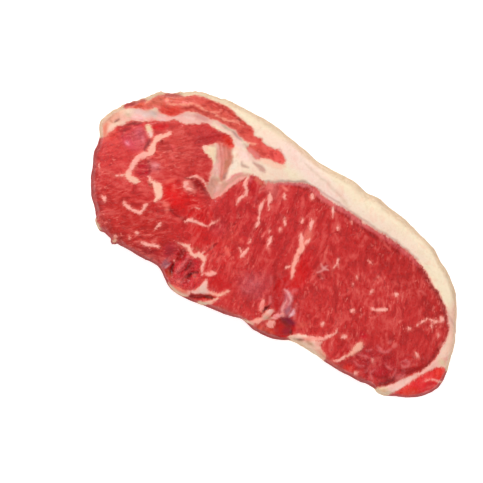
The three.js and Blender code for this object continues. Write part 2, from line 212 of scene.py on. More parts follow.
VEINS = [
    # left lobe
    line((2.2, 2.9), (-68.6, 15), (-70.4, 12.6), (-72.2, 10), (-72.5, 7), (-71.6, 3.6), (-71.6, 0)),
    line((2.6, 2.9), (-71.2, 1.6), (-73.3, -0.3), (-74.9, -3), (-75, -6.4), (-74.4, -10.4)),
    line((3.4, 2.4), (-75, -9.6), (-73.8, -11.8), (-71, -12.6), (-67.8, -11.6)),
    line((1.9, 1.2), (-74, -12), (-76, -12.9), (-78.4, -14.9)),
    loop((-80.4, 11.4), (-78.4, 13), (-76.2, 11.4), (-74.4, 9.4), (-75.2, 7.8), (-77.2, 8.8),
         (-79.2, 9.8)),
    line((1.2, 1.8), (-66.2, -7.4), (-63.4, -8.2), (-60.6, -8.4)),
    loop((-63.4, -7.8), (-61, -7.2), (-58.4, -6.8), (-56.8, -9), (-55.9, -12.4), (-57.2, -15.4),
         (-58.8, -12.8), (-61, -10.4), (-63, -9)),
    line(1.3, (-68.8, -23.4), (-65.5, -23.8), (-61.7, -23.5), (-59.6, -22.6), (-59.3, -17.8)),
    line(1.8, (-78.7, -26.4), (-77.2, -26.8), (-76.3, -27.8)),
    line(1, (-88, -15.2), (-86.4, -16.8)),
    line((1.4, 3), (-77.4, -35.4), (-74.6, -37.4), (-71.4, -39.2)),
    line(1.6, (-63.1, -38.3), (-62.2, -39.1)),
    line(0.9, (-58.4, -34.8), (-57.5, -35.6)),
    spot(-55.5, -31.8, 0.8),
    line((1.6, 1.1), (-51.6, -34.1), (-49.2, -33.6), (-46.6, -32), (-43.8, -31.7)),
    line(1.4, (-49.6, -21), (-50, -23.6), (-50.1, -26.2)),
    # above and left of the lower pocket
    line((1.6, 1.3), (-40.2, -14.5), (-39, -13), (-35.5, -12.2), (-31.4, -11.3)),
    line((1.3, 0.8), (-31.2, -11), (-29.4, -8), (-28.6, -6.1)),
    line(0.9, (-40, -7), (-38.6, -6)),
    line(3.2, (-50.3, 0.4), (-49.8, -1.8)),
    line(2.2, (-48.6, -1.8), (-46.2, -1.4)),
    line((1.2, 2.4), (-37.6, -25), (-35.2, -24.3), (-33, -23.5), (-30.4, -24.8)),
    line((1.6, 2.8), (-31.6, -24.6), (-28.9, -25.5), (-26.4, -24), (-24.3, -23.9), (-22.8, -25.4)),
    line((1.5, 0.7), (-23.2, -24.8), (-22.5, -27.6), (-21.2, -29.6), (-20.2, -30.6)),
    line((1.4, 0.7), (-33.4, -24), (-32.8, -21.8)),
    line((1.6, 0.8), (-26.4, -24), (-25.4, -21.4)),
    line((1.2, 0.7), (-24, -24), (-23.2, -21.6)),
    line((1.8, 1), (-19.6, -29.4), (-17.8, -28.5), (-16.8, -27.4), (-15, -26.7)),
    line(1, (-35.3, -32), (-34.6, -32.7)),
    # centre
    line((1.2, 0.9), (-13.2, -11.4), (-10.8, -12.6)),
    line((0.8, 1.4), (-10.1, -9.4), (-10.3, -12.6), (-10.4, -14.8)),
    line(0.9, (-10.9, -5.2), (-10.5, -7.2)),
    line((2.2, 1.4), (-4.1, 1.1), (-3, -1.4), (-2, -3.4)),
    line(0.9, (-6.3, 4.2), (-5.5, 1.9)),
    line(0.8, (-3.6, 12.3), (-1.7, 9.6)),
    line(0.9, (-3, 7), (-2, 5.4)),
    line((1.6, 1.1), (-15.6, 17.4), (-13.8, 14.8), (-11.8, 11.6)),
    line((1.2, 1.8), (-15.6, 13.2), (-15.4, 9.4), (-13.8, 6.8)),
    line((1.6, 1.1), (-13.8, 7), (-12.7, 3.4), (-12.3, -0.2)),
    line((1.7, 1.2), (-28.5, 18.6), (-27.4, 14.6), (-25.4, 12.4), (-24.4, 10.6)),
    line((1.2, 0.8), (-24.6, 10.6), (-25.4, 8.4), (-25.5, 4.8)),
    line(1.8, (-10, 21), (-8, 19.2)),
    line((1.7, 1.2), (1.2, 27.7), (2.2, 25.7)),
    line(0.9, (11.6, 28.6), (13.3, 26.2), (14.5, 24.2)),
    line(1.1, (18.4, 22.6), (19.7, 20.9)),
    line(1.3, (22.6, 28.2), (23.3, 27)),
    line((1.6, 1.1), (3, 16.1), (4.3, 14.3)),
    line((1.7, 1.5), (7.2, 18.9), (8.4, 16), (9.5, 13)),
    line((1.3, 3), (6.6, 9.8), (8.2, 8.2), (9.8, 6.4)),
    line((1.2, 2.4), (11.4, 10.4), (10.9, 7)),
    line((3.6, 2.2), (9.9, 7.4), (10.5, 4.4), (10.5, 1.4)),
    line((2.1, 1.6), (10.5, 1.8), (11.1, -1.2), (12.6, -4.6), (13.8, -7.6), (14.4, -9.4)),
    line((1.5, 1), (10.8, -4.4), (9.4, -6.8)),
    # right
    line((1.2, 1.8), (27.2, 10.2), (28.2, 8.2)),
    line((1.4, 0.8), (28.2, 8.2), (27.9, 5.6)),
    line((1.4, 0.7), (28.2, 8.6), (29.6, 7.2)),
    line(1.4, (38.8, 17), (41.2, 16.8)),
    line(1.4, (38.7, 7.9), (39.9, 7.1)),
    line(0.9, (39.1, 4.5), (39.8, 3.1)),
    line(0.9, (46.9, 13.5), (47.6, 12.6)),
    line(1.5, (47.8, 7.4), (48.2, 4.9)),
    spot(46, -5.9, 0.9),
    spot(37.9, -18.6, 0.9),
    line(1.8, (48.2, -18.8), (49.8, -17.2)),
    line((1.5, 1.7), (51.8, 0), (54.1, 0.1)),
    line((1.8, 1.5), (54.1, 0.2), (56.2, 1.8), (58.4, 3.8)),
    spot(58.3, 11.5, 0.9),
    line((0.9, 1.4), (74.4, 5.2), (75.6, 7.7), (76.4, 10.4)),
    line((1.3, 1), (76.6, 10.4), (79.5, 11), (82.3, 12.4)),
    spot(81.8, 13.9, 1.1),
    line(1.2, (79.4, 9.1), (80.2, 7.9)),
    line(1.1, (84.2, 7.4), (85.4, 6)),
    spot(71.8, 1.7, 0.9),
    line(1.4, (80.6, -5.8), (83.4, -6.7)),
    line((3.4, 2), (57.9, -16.2), (57.3, -19), (56.9, -21.4), (55.9, -24.2)),
    line((1.6, 0.7), (55.6, -23.8), (53.8, -27.6), (51.4, -29.9)),
    spot(63.3, -28.6, 0.9),
    line(1, (65.9, -19.4), (66.9, -20.4)),
    # lower edge
    line((1.2, 1.6), (44.3, -16.8), (45, -19.2), (43.7, -21.5), (42.2, -23.8)),
    line((1.6, 2.6), (42.4, -23.6), (39.5, -25.9), (36.4, -27.8), (32.9, -28.8)),
    line((3.4, 3.8), (15.2, -26.8), (14.6, -29.6), (13.7, -32.6)),
    line((3, 0.9), (13.8, -32), (11.7, -34.9), (9.4, -36.9), (6.6, -38.8)),
    line((1.2, 1.6), (14.2, -32), (17, -29.8), (19.6, -28)),
    spot(18.4, -31.8, 2.3, 1.6, 75),
    line((1.8, 2.6), (17.6, -28), (19, -26.9), (20.4, -25.6)),
    line((2, 1.2), (9.4, -25), (10.3, -27.2), (11.6, -30)),
    line((2, 1.7), (-13.8, -35.9), (-9.8, -34.5), (-7.4, -32.8), (-6.2, -30.2)),
    # strip muscle
    line((0.7, 1.3), (-77.2, 25.2), (-73.6, 27.4), (-70.7, 29.3), (-68.2, 31.6), (-66, 32.5)),
    line((0.9, 0.7), (-66.8, 32.1), (-63.4, 32.4), (-59.6, 33), (-56.6, 34.2), (-55.4, 36)),
    line((0.6, 0.9), (-56, 33), (-50, 34.2), (-46.2, 36), (-42, 36.3)),
    spot(-78.6, 26.6, 0.8),
    line((1.3, 1.7), (-85.8, 19.8), (-85.3, 22.6), (-85.2, 25.4)),
    line((1.3, 0.6), (-36.8, 30.8), (-34.6, 31.3), (-33, 32.7)),
    # pink line over the fold below the open pocket, and one through the corner muscle
    line((0.9, 1.3), (-51.7, 2.1), (-48.2, 4.6), (-44.4, 5), (-40.9, 4), (-38.4, 2)),
    line((0.7, 1), (91.4, -13.8), (94.8, -11.2), (99, -10.8)),
]

# Wrinkles in the lean near the small muscle

WRINKLES = [
    line(0.9, (77.8, -12.6), (78.8, -11), (80.8, -11.2), (81.4, -12.8), (80, -14.2), (78.4, -13.6)),
    line(0.9, (64, -12.5), (67.5, -14), (70.5, -10.5)),
    line(1, (63.5, -15.5), (62.6, -16.8), (61.5, -17.5)),
    line(0.9, (59.5, -21), (62, -20), (64.5, -20)),
    line(1, (65.6, -19.6), (67.4, -20.2)),
    line(0.9, (72, -17.5), (74, -18.4), (76, -18)),
    line(0.9, (77.5, -17), (78.4, -19), (78, -21)),
    line(1, (80, -19.5), (81.6, -18.4), (82.5, -16.5)),
    line(0.9, (66.5, -23.5), (67, -24.8), (66.5, -26)),
    line(0.9, (59.5, -25), (62, -25.4), (64.5, -24.5)),
    line(0.8, (70, -22.8), (68.8, -25), (71, -26.4)),
]

# How much wider every strand is, in millimetres
STRAND_EXTRA = 0.05

# Broader fat along the lower edge, and the depths in millimetres between which it ends

FAT_FADE = (5, 11)
FAT_AREAS = [
    # rim under the lower pocket
    loop((-38.6, -39), (-35, -41.2), (-31, -42.6), (-27, -41.8), (-23.5, -41), (-20.6, -39.6),
         (-19.6, -42.4), (-24, -48), (-33, -48), (-40, -44)),
    # wedge right of the lower pocket
    loop((-17.2, -31), (-18.4, -33.8), (-19, -37), (-21.2, -39.8), (-19, -40.4), (-15.9, -38.8),
         (-12.8, -36.6), (-14.9, -34.2)),
    loop((-7.9, -35.2), (-8.9, -38.5), (-9.6, -42), (-12.5, -45), (-17, -44), (-14, -41),
         (-11.5, -38.7), (-9.9, -36.4)),
    # along the lower edge, right of the blood-dark hollow
    loop((29.6, -30), (31, -28.4), (33.5, -28), (36, -28.2), (39.5, -26.8), (42, -25.6),
         (42.8, -27.6), (44.8, -29), (48, -30.6), (47, -38), (30, -42), (28, -35),
         (28.6, -31.8)),
]

# The share of light that the wet surface reflects on top of the colours below
SHEEN = 0.027

# Colours of the lean: where, the colour, how strongly, and how soft the edge is in millimetres

LEAN = (206, 58, 57)
LEAN_PATCHES = [
    # broad changes of tone
    (spot(56, 6, 42, 24), (200, 57, 56), 0.9, 14),
    (spot(60, 22, 30, 7, -14), (184, 50, 48), 0.65, 6),
    (spot(20, 24, 22, 6), (190, 48, 48), 0.5, 6),
    (spot(-14, 6, 18, 20, -70), (203, 56, 58), 0.6, 10),
    (spot(-82, -6, 13, 16, 70), (220, 72, 70), 0.7, 8),
    (spot(-64, 12, 14, 12), (213, 80, 73), 0.7, 8),
    (spot(-52, 20, 8, 7), (190, 58, 62), 0.5, 6),
    (spot(-58, -28, 26, 10, -6), (194, 52, 48), 0.8, 7),
    (spot(-24, -18, 16, 8), (214, 54, 54), 0.6, 7),
    (spot(-1, -6, 9, 20), (196, 52, 52), 0.6, 7),
    (spot(-20, -9, 3.4, 4.4), (228, 84, 74), 0.5, 3),
    # strip muscle
    (STRIP, (222, 94, 80), 1, 1),
    (spot(-22.5, 33.2, 5, 3), (245, 92, 88), 0.85, 3),
    (spot(-34, 34, 7, 2.6, -4), (224, 78, 72), 0.7, 3),
    (line(3, (-38, 36.4), (-48, 37.2), (-60, 37), (-68, 34.6)), (212, 70, 62), 0.75, 1.6),
    (line(1.4, (-39, 37.3), (-50, 38.4), (-60, 37.7), (-70, 34.8)), (184, 62, 50), 0.55, 1),
    (line(1.2, (-66, 30.4), (-60, 31.6), (-52, 33), (-46, 34)), (196, 66, 58), 0.6, 1),
    (line(4, (-91.4, 15.4), (-87, 19)), (218, 88, 60), 0.85, 1.6),
    (line(1.6, (-92, 18.4), (-86.8, 21.8), (-84.4, 26.4)), (156, 112, 80), 0.8, 1.2),
    (spot(-73.6, 23.4, 6, 2.2, 35), (226, 62, 50), 0.85, 1.6),
    (line(1, (-70.6, 27.6), (-68.6, 28.8), (-66.6, 31)), (158, 28, 34), 0.8, 0.8),
    (spot(-82.4, 24, 2.4, 4, -30), (200, 100, 78), 0.8, 2),
    (spot(-77, 30, 4.6, 2.2, 36), (208, 92, 58), 0.75, 2),
    (spot(-78.8, 26.8, 1.6, 1.4), (240, 118, 104), 0.7, 1),
    (line(0.8, (-77.2, 25.6), (-77, 23.8)), (150, 44, 40), 0.8, 0.6),
    (spot(-46, 37.4, 1, 0.6), (120, 50, 40), 0.7, 0.6),
    (line(2.6, (-35.4, 28.6), (-32, 27.8), (-28.8, 28.4)), (222, 134, 128), 0.9, 1),
    (line(1.4, (-48.8, 23.4), (-45, 25), (-41.6, 26)), (222, 92, 78), 0.75, 1),
    # corner muscle
    (CORNER, (230, 54, 56), 1, 1),
    (spot(95.6, -7.4, 3, 2.4, 60), (236, 62, 48), 0.8, 2),
    (spot(93.6, -15, 6, 2.2, 60), (226, 48, 56), 0.7, 2),
    (spot(88.6, -22.6, 4, 1.8, 40), (216, 62, 34), 0.75, 1.8),
    (line(1.2, (99.2, -11), (98, -16), (95, -20.5), (90, -25)), (150, 62, 82), 0.7, 1),
    (line(0.9, (93.4, -16.6), (95.6, -14.4), (97.4, -13.6)), (240, 110, 104), 0.6, 0.8),
    # bright and saturated
    (spot(16.4, -5, 8, 4, -72), (214, 30, 38), 0.85, 4),
    (line(3, (12.6, -11.6), (17.4, -9.8)), (204, 4, 28), 0.8, 1.8),
    (loop((-57, -4), (-52, -2.4), (-44, -3), (-35, -4.4), (-30, -7), (-34, -11), (-44, -13),
          (-53, -12.8)), (214, 44, 44), 0.8, 2),
    (spot(-51.6, -8.4, 5, 3, -6), (238, 44, 40), 0.75, 3),
    (line(0.9, (-52, -13.6), (-46, -14.6), (-40.6, -14.4)), (146, 20, 24), 0.85, 0.8),
    (line(2, (-76.4, 12.8), (-74, 14.8), (-71.6, 16.6)), (226, 36, 46), 0.85, 1.2),
    (spot(-82.6, 9.8, 2.4, 1.7, 20), (216, 24, 34), 0.85, 1.4),
    (line(1.6, (-90.2, 3.6), (-90, -0.6), (-90.4, -3)), (220, 24, 34), 0.85, 1),
    (line(1.6, (-25.4, 19), (-22.4, 18.8), (-20, 19)), (206, 112, 88), 0.8, 0.9),
    (spot(-23.6, 16, 2.4, 1.8), (196, 30, 44), 0.8, 1.2),
    (spot(-44, 26.6, 3.4, 1.7, -8), (226, 56, 40), 0.85, 1.2),
    (spot(-12, -30, 4.4, 3), (202, 28, 36), 0.75, 2.4),
    (spot(-31, -16, 6, 3, -20), (206, 34, 36), 0.5, 3),
    (spot(72.6, -22.2, 3.4, 1.7, 28), (204, 40, 48), 0.8, 1.2),
    (spot(59.6, -29, 2.6, 1.3, 10), (226, 50, 34), 0.8, 1.2),
    (spot(68.6, -27.6, 2, 1.2, 20), (216, 40, 44), 0.8, 1),
    # pinkish and lilac: pinkish patches are the meat's own colour; the lilac stands for light reflected off
    # the wet surface, a painted reflection
    (spot(-79.4, 4.6, 4.6, 3.8, -20), (222, 100, 108), 0.75, 3.4),
    (spot(-80.6, 7.6, 3, 1.6, -30), (206, 104, 116), 0.6, 1.8),
    (spot(-82.2, 0.4, 4, 2, -10), (220, 84, 104), 0.6, 2),
    # painted highlight on the wet surface
    (line(1.7, (-83.4, 0.3), (-81.6, 0)), (255, 156, 174), 0.9, 0.8),
    (line((1, 1.5), (-78.2, 6.4), (-76.8, 4.4)), (240, 140, 144), 0.7, 0.8),
    (line(1.1, (-85.6, 7), (-86.8, 4.4), (-86.4, 1.4)), (156, 40, 50), 0.7, 0.9),
    # a dark strip beside the fat strand: painted shadow
    (line(1.4, (-75, 7.4), (-74.4, 4.6), (-74, 1.4)), (128, 52, 54), 0.85, 0.8),
    (spot(-66.4, -2.4, 3, 2.2, 30), (214, 110, 112), 0.75, 2),
    # painted highlight
    (line(1.5, (-67, -2.4), (-64.6, -0.2)), (244, 152, 152), 0.85, 0.9),
    (line(1.6, (-70.4, -0.6), (-67.6, -3.6), (-65.4, -7)), (222, 116, 112), 0.6, 1),
    (line((3.6, 5.4), (16.8, -15.4), (18.6, -19), (20.8, -24.6)), (222, 112, 116), 0.9, 1.5),
    # the next two pale strokes are painted highlights
    (line(1.3, (15, -15.2), (17.4, -15.8), (19.6, -17.6), (20, -20)), (246, 172, 170), 0.9, 0.7),
    (line(1.4, (17.8, -19), (18.4, -22.4), (20, -25.4)), (246, 168, 164), 0.9, 0.7),
    (line(1, (22.8, -17.6), (24.2, -21), (26, -24.4)), (238, 128, 122), 0.7, 0.8),
    (line(0.9, (16.8, -17), (17.4, -19.4)), (190, 110, 124), 0.7, 0.8),
    (spot(19.2, -13.4, 1.2, 0.8, 40), (246, 124, 124), 0.7, 0.8),
    # painted highlight
    (line(1.1, (23.2, -20.6), (24, -22.4), (23.4, -24.8)), (252, 204, 208), 0.95, 0.6),
    (spot(21.4, -22.6, 1.1, 2.2, 8), (168, 104, 118), 0.8, 1),
    (spot(1.6, -22, 6, 5), (208, 92, 98), 0.65, 4),
    (line(1, (-1, -20.6), (1.8, -21.4), (3.6, -19.4)), (226, 118, 122), 0.6, 0.8),
    (line(1, (-3, -25), (0.4, -26.2), (3.4, -25)), (222, 112, 112), 0.5, 0.8),
    (spot(5.5, -16, 4, 3, -60), (212, 80, 84), 0.5, 3),
    (spot(-37.3, -35.8, 1.2, 2.2), (152, 110, 124), 0.85, 0.9),
    (line(0.9, (-35.9, -34.6), (-36.3, -37.2)), (214, 196, 200), 0.85, 0.6),
    (spot(-39, -30, 2.6, 3.6), (178, 58, 74), 0.6, 2),
    (spot(-46, -36, 7, 2.4), (158, 48, 54), 0.65, 2),
    (spot(24.4, 1, 3, 3.4, 20), (176, 44, 48), 0.6, 1.6),
    (line(1, (22.2, 3.8), (24.4, 2.6), (26.4, 3.2)), (244, 168, 160), 0.85, 0.6),
    (line(0.9, (24.8, 4.8), (24.2, 1.8), (22.6, -0.4)), (240, 156, 150), 0.8, 0.6),
    (spot(-26, -9, 4, 3.4), (196, 66, 72), 0.5, 3),
    (line(0.9, (95.6, -10.6), (99, -10.4)), (246, 150, 146), 0.7, 0.7),
    # silverskin under the fat cap
    (line((1.4, 2.4), (-18, 21.2), (-12.4, 25.2), (-7.6, 28.2), (-3, 29.8)), (204, 112, 116), 0.9, 0.9),
    (line((2.2, 2), (-3, 29.8), (6, 29.3), (16, 29.7), (24, 29.8), (34, 29.6)), (216, 112, 114), 0.75, 0.9),
    (line((2, 1.2), (34, 29.6), (44, 29.9), (54, 29.4), (60, 28)), (206, 94, 98), 0.8, 0.9),
    (line(0.9, (-8, 26.4), (-2, 28), (8, 27.4), (20, 28), (34, 27.8), (50, 28)), (146, 26, 30), 0.75, 0.8),
    (line(1.8, (60, 27.6), (67, 24.6), (75, 21), (82, 15.8)), (142, 34, 34), 0.6, 1.2),
    # dark pockets and cuts: the meat's own darker and bloodier reds, with the cracks, crevices and creases
    # painted darker as painted shade
    (loop((-35.6, -26.4), (-31, -26), (-25.4, -26.4), (-22, -29.4), (-20.4, -33), (-20.6, -38),
          (-25, -40.6), (-31, -40.4), (-35.6, -37.4), (-36, -30)), (216, 52, 60), 0.9, 1.6),
    (loop((-34.8, -26.4), (-32.4, -26.4), (-32, -30), (-32.8, -32.6), (-34.6, -31)),
     (170, 16, 34), 0.85, 1),
    (line((1.4, 1.9), (-30.7, -26.8), (-30.4, -31), (-30.8, -37)), (228, 112, 112), 0.8, 1),
    (line(1.3, (-28.1, -28), (-27.8, -31), (-28.2, -34)), (126, 4, 16), 0.9, 0.7),
    (line((0.9, 1.4), (-26.8, -28.6), (-26.7, -32), (-27.2, -37.4)), (206, 88, 88), 0.7, 0.8),
    (line((1.5, 1), (-22.6, -30.9), (-24.5, -32.7), (-25.3, -35), (-26.4, -38)), (116, 2, 10), 0.95, 0.7),
    (spot(-27.4, -39.4, 1.2, 0.9), (240, 130, 120), 0.75, 0.8),
    (spot(-23.2, -33.2, 0.9, 1.1), (234, 116, 104), 0.75, 0.7),
    (line(0.9, (-21.4, -33.4), (-21.2, -36)), (232, 92, 76), 0.7, 0.7),
    (line((1.3, 2), (-34.2, -33.4), (-33.8, -36), (-32.6, -38.6)), (92, 26, 26), 0.9, 0.9),
    (spot(-33.6, -38.8, 2, 1, -30), (172, 72, 42), 0.75, 1),
    (line(1.1, (-33, -25.8), (-34.4, -26.2)), (110, 30, 26), 0.8, 0.7),
    (spot(-28.8, -22.2, 1.6, 0.8, 10), (182, 78, 60), 0.75, 0.9),
    (spot(-24, -37.8, 2, 1.8), (204, 42, 42), 0.7, 1.2),
    (line(0.9, (-22.7, -15.2), (-23.4, -18), (-24.2, -20.4)), (148, 6, 12), 0.95, 0.5),
    (line((1, 0.8), (-19, -18.2), (-17.4, -17.8)), (150, 24, 28), 0.7, 0.6),
    (line((2, 3.4), (11, -14), (12.4, -18), (14, -21), (15.8, -24.6)), (196, 8, 24), 1, 1),
    (loop((20.6, -27.6), (24, -26.6), (27.4, -27), (28.6, -29.6), (28.4, -32.4), (25.4, -34.6),
          (21.8, -34.2), (20.4, -31)), (190, 6, 18), 1, 1.1),
    (loop((20.8, -25.8), (24, -24.8), (27.2, -25.2), (27.4, -27.2), (24, -28.2), (21.4, -28)),
     (134, 40, 64), 0.9, 1.3),
    (spot(26.2, -30.2, 1.9, 2.4, -20), (158, 8, 58), 0.9, 1.2),
    (spot(23.4, -28, 2.6, 1, -8), (132, 14, 44), 0.8, 1),
    (line(1.1, (27.8, -28.8), (28.5, -31.4)), (86, 22, 30), 0.9, 0.7),
    (line((1, 1.6), (12.8, -24.8), (12.2, -27), (12.1, -30)), (104, 28, 24), 0.9, 0.7),
    (line(2.4, (12.6, -36), (17, -36), (22, -35)), (210, 74, 52), 0.8, 1.2),
    (line(1.6, (11, -37.8), (15.6, -38), (20, -37.4)), (118, 66, 44), 0.85, 0.9),
    (line(2, (16, -37.6), (21, -37), (26.6, -35)), (136, 62, 56), 0.6, 1.2),
    (line((1, 1.8), (-9.8, -36.5), (-12, -37.6), (-14.6, -39)), (112, 52, 32), 0.98, 0.6),
    (line((1.6, 2.4), (-14.2, -38.8), (-17, -40.8), (-20, -42.6)), (152, 32, 18), 0.95, 0.7),
    (line(2, (-18, -43.2), (-22, -43.6)), (132, 54, 44), 0.7, 1),
    (line(1.6, (24, -1.6), (26.2, -1.4)), (142, 26, 34), 0.85, 0.8),
    (line((1.4, 3.4), (88.4, -8.4), (86, -11.6), (83.6, -14), (80.2, -16.4)), (172, 4, 14), 0.95, 1),
    (line((1.8, 1.2), (79.4, -20.6), (77.4, -24), (74.6, -27)), (136, 10, 20), 0.85, 0.9),
    (line(1, (82.2, -7.6), (80.8, -7.8)), (116, 30, 30), 0.8, 0.6),
    (spot(81.2, -18.8, 1.6, 2.4, -20), (214, 100, 100), 0.7, 1.2),
    (spot(79.5, -12.6, 1.8, 1.6), (206, 78, 80), 0.7, 0.9),
    (spot(68, -20, 12, 5.4, 14), (182, 48, 54), 0.6, 4),
    (spot(75, -13, 7, 4, 30), (186, 40, 44), 0.5, 3),
    # the raised wrinkles paler along their crests: painted highlight
    *[(wrinkle, (230, 118, 118), 0.7, 0.7) for wrinkle in WRINKLES],
    (spot(71, -8.5, 1), (230, 116, 110), 0.7, 0.7),
    (spot(68, -8.3, 0.9), (228, 112, 108), 0.7, 0.7),
    (line(0.9, (58, -21.8), (61.6, -22.4), (65, -21.8)), (140, 30, 36), 0.5, 0.9),
    (line(0.9, (69.6, -24.6), (73.4, -24.4), (76, -22)), (146, 28, 34), 0.55, 0.9),
    (line(1.1, (59.4, -17), (58.6, -20), (57.8, -23)), (136, 50, 48), 0.75, 0.8),
    (spot(53.4, -23.4, 2, 1.6, 60), (192, 22, 36), 0.75, 1.2),
    (spot(56, -12.6, 1.7, 1.2), (214, 30, 54), 0.75, 1.1),
    (line(0.8, (60, 29), (67.2, 25.2), (75.2, 21.6), (79.5, 19.1), (82.3, 16.5), (84.8, 13.8)),
     (104, 36, 28), 0.75, 0.7),
    (line(0.8, (84.8, 13.8), (87, 11), (88.1, 8), (88.6, 2), (88.6, -3), (88, -8)),
     (112, 40, 34), 0.7, 0.7),
    (spot(-44.6, 1.8, 6.4, 1.7, -4), (156, 34, 38), 0.8, 1.4),
    (line(1, (-52, 1.4), (-48.2, 3.4), (-44, 3.2), (-40.6, 1.8), (-38.4, 0.4)), (134, 18, 24), 0.8, 0.8),
    (line(0.9, (-50.4, 21), (-48.6, 22.6)), (150, 20, 26), 0.7, 0.7),
    # dark line in a crease at the tip: painted shade
    (line(1.2, (-91, 7.6), (-92.6, 4.6)), (128, 60, 50), 0.85, 0.7),
    (line(1.2, (-85.4, 8.8), (-87.8, 6.2), (-89.4, 4)), (164, 52, 50), 0.6, 0.8),
    (spot(-69.4, -6.2, 3.4, 3.2), (190, 36, 50), 0.8, 1.2),
    (line(0.8, (-72, -2), (-69.6, -1.8), (-67.6, -4), (-66, -7.4)), (140, 38, 40), 0.7, 0.7),
    (line(0.8, (-72.8, -3), (-72.8, -7), (-71.6, -9.8)), (150, 44, 44), 0.6, 0.7),
    (line(1.2, (-64.2, -9.2), (-62.4, -10.2)), (168, 116, 88), 0.75, 0.8),
    (line(1.6, (-83.4, -16.4), (-79, -15.4), (-75, -14.6)), (204, 88, 78), 0.5, 1.4),
    # darker towards the rim of the lower edge
    (line(3.4, (-93, -10), (-88, -20), (-80, -29.4), (-73, -35.6)), (162, 40, 38), 0.6, 2),
    (line(4, (-73, -35), (-64, -38.4), (-54, -38.8), (-42, -38)), (160, 44, 38), 0.65, 2.4),
    (line(2.4, (-6, -39.6), (2, -38.6), (9, -37.4)), (168, 80, 58), 0.7, 1.6),
    (line(2.4, (46, -31.6), (58, -31.6), (70, -30.4), (75, -29)), (184, 84, 68), 0.7, 1.4),
    (line(3.4, (-92.8, -3.4), (-90.4, 1.2)), (240, 110, 94), 0.6, 2),
    # thinly marbled places
    (spot(-16.4, 20, 4.4, 2.6, -30), (236, 132, 124), 0.75, 2),
    (line(1.2, (-12.6, 23.2), (-9.6, 22.6)), (250, 140, 126), 0.8, 0.7),
    (line(1.4, (-20, 18.4), (-19.4, 15.4)), (244, 138, 128), 0.75, 0.8),
    (line(1.8, (-19.4, 12.6), (-18.6, 10)), (214, 92, 92), 0.6, 1),
    (line(1.6, (-26.8, 19.2), (-26, 16.8)), (232, 120, 124), 0.7, 1),
    (line(2.2, (-18.4, -14.4), (-15.6, -16.6)), (246, 112, 98), 0.8, 1),
    (line(1.2, (-14.6, -7), (-15, -10)), (240, 104, 90), 0.6, 0.8),
    (line(2.2, (-54.8, -13), (-51.4, -13.8), (-50, -16)), (244, 118, 104), 0.8, 1),
    (spot(-47.8, -0.8, 3.4, 2.2, -16), (228, 128, 116), 0.75, 1.2),
    (line(1.6, (-54, -4.4), (-52.6, -6)), (246, 92, 82), 0.75, 0.9),
    (line(1.3, (-57.8, -24), (-57.2, -26)), (226, 98, 92), 0.6, 0.9),
    (line((1.6, 0.9), (-1.6, -3.4), (-0.4, -5)), (240, 118, 108), 0.6, 0.8),
    (spot(9.8, 10.6, 1.7, 2.8, 14), (234, 120, 104), 0.85, 1.2),
    (line(0.9, (20.2, 12.4), (21.4, 8.2), (22.9, 4.6)), (232, 104, 92), 0.6, 0.8),
    (line(0.9, (27.8, 5.4), (29.2, 2.2)), (236, 110, 98), 0.6, 0.8),
    (line(0.9, (32.8, 1.6), (34.6, -1.2)), (230, 104, 94), 0.6, 0.8),
    (line(1, (43, 3.4), (44, 2)), (232, 108, 96), 0.6, 0.8),
    (line(1.5, (53.8, 15.4), (56.6, 15.4)), (222, 98, 90), 0.6, 0.9),
    (line(1.2, (66.8, 19.4), (69.6, 19)), (218, 100, 94), 0.6, 0.8),
    (line(1.5, (-55.6, -1.6), (-57.2, -5.2)), (246, 112, 100), 0.8, 0.8),
    (spot(-61.4, 6.4, 1.2, 0.9), (240, 110, 104), 0.75, 0.8),
    (spot(-68.6, 4.5, 1.2, 0.9), (240, 96, 86), 0.7, 0.8),
    (spot(-64.3, 10.2, 1.4, 1), (226, 84, 86), 0.7, 0.8),
    (line(1.4, (-81.2, 19.8), (-79.4, 21.4)), (236, 132, 126), 0.8, 0.8),
    (spot(-70.1, 9.9, 0.9), (134, 20, 22), 0.7, 0.7),
    (line(0.8, (-87.7, 6.6), (-85.3, 9), (-82.5, 11.2)), (122, 58, 52), 0.8, 0.7),
    (line(1, (32, -20.6), (34, -22.8)), (226, 104, 94), 0.5, 0.9),
    (line(2, (29.4, -26), (31.6, -23)), (222, 104, 88), 0.6, 1.4),
    (line(1, (2.4, -14.6), (4.4, -17)), (230, 108, 104), 0.55, 0.9),
    (line(1.3, (6.2, -13.4), (8.4, -17.4)), (232, 116, 112), 0.55, 0.9),
    (line(1, (11, -22), (12.6, -24.6)), (236, 130, 128), 0.6, 0.8),
    (line(1, (-89, 2.6), (-87, -3), (-88, -8)), (238, 92, 84), 0.5, 1),
    (line(1.3, (-66, 0.6), (-60.6, 2.4)), (226, 84, 78), 0.5, 1.2),
]

# Colours of the fat and the connective tissue, in the same way

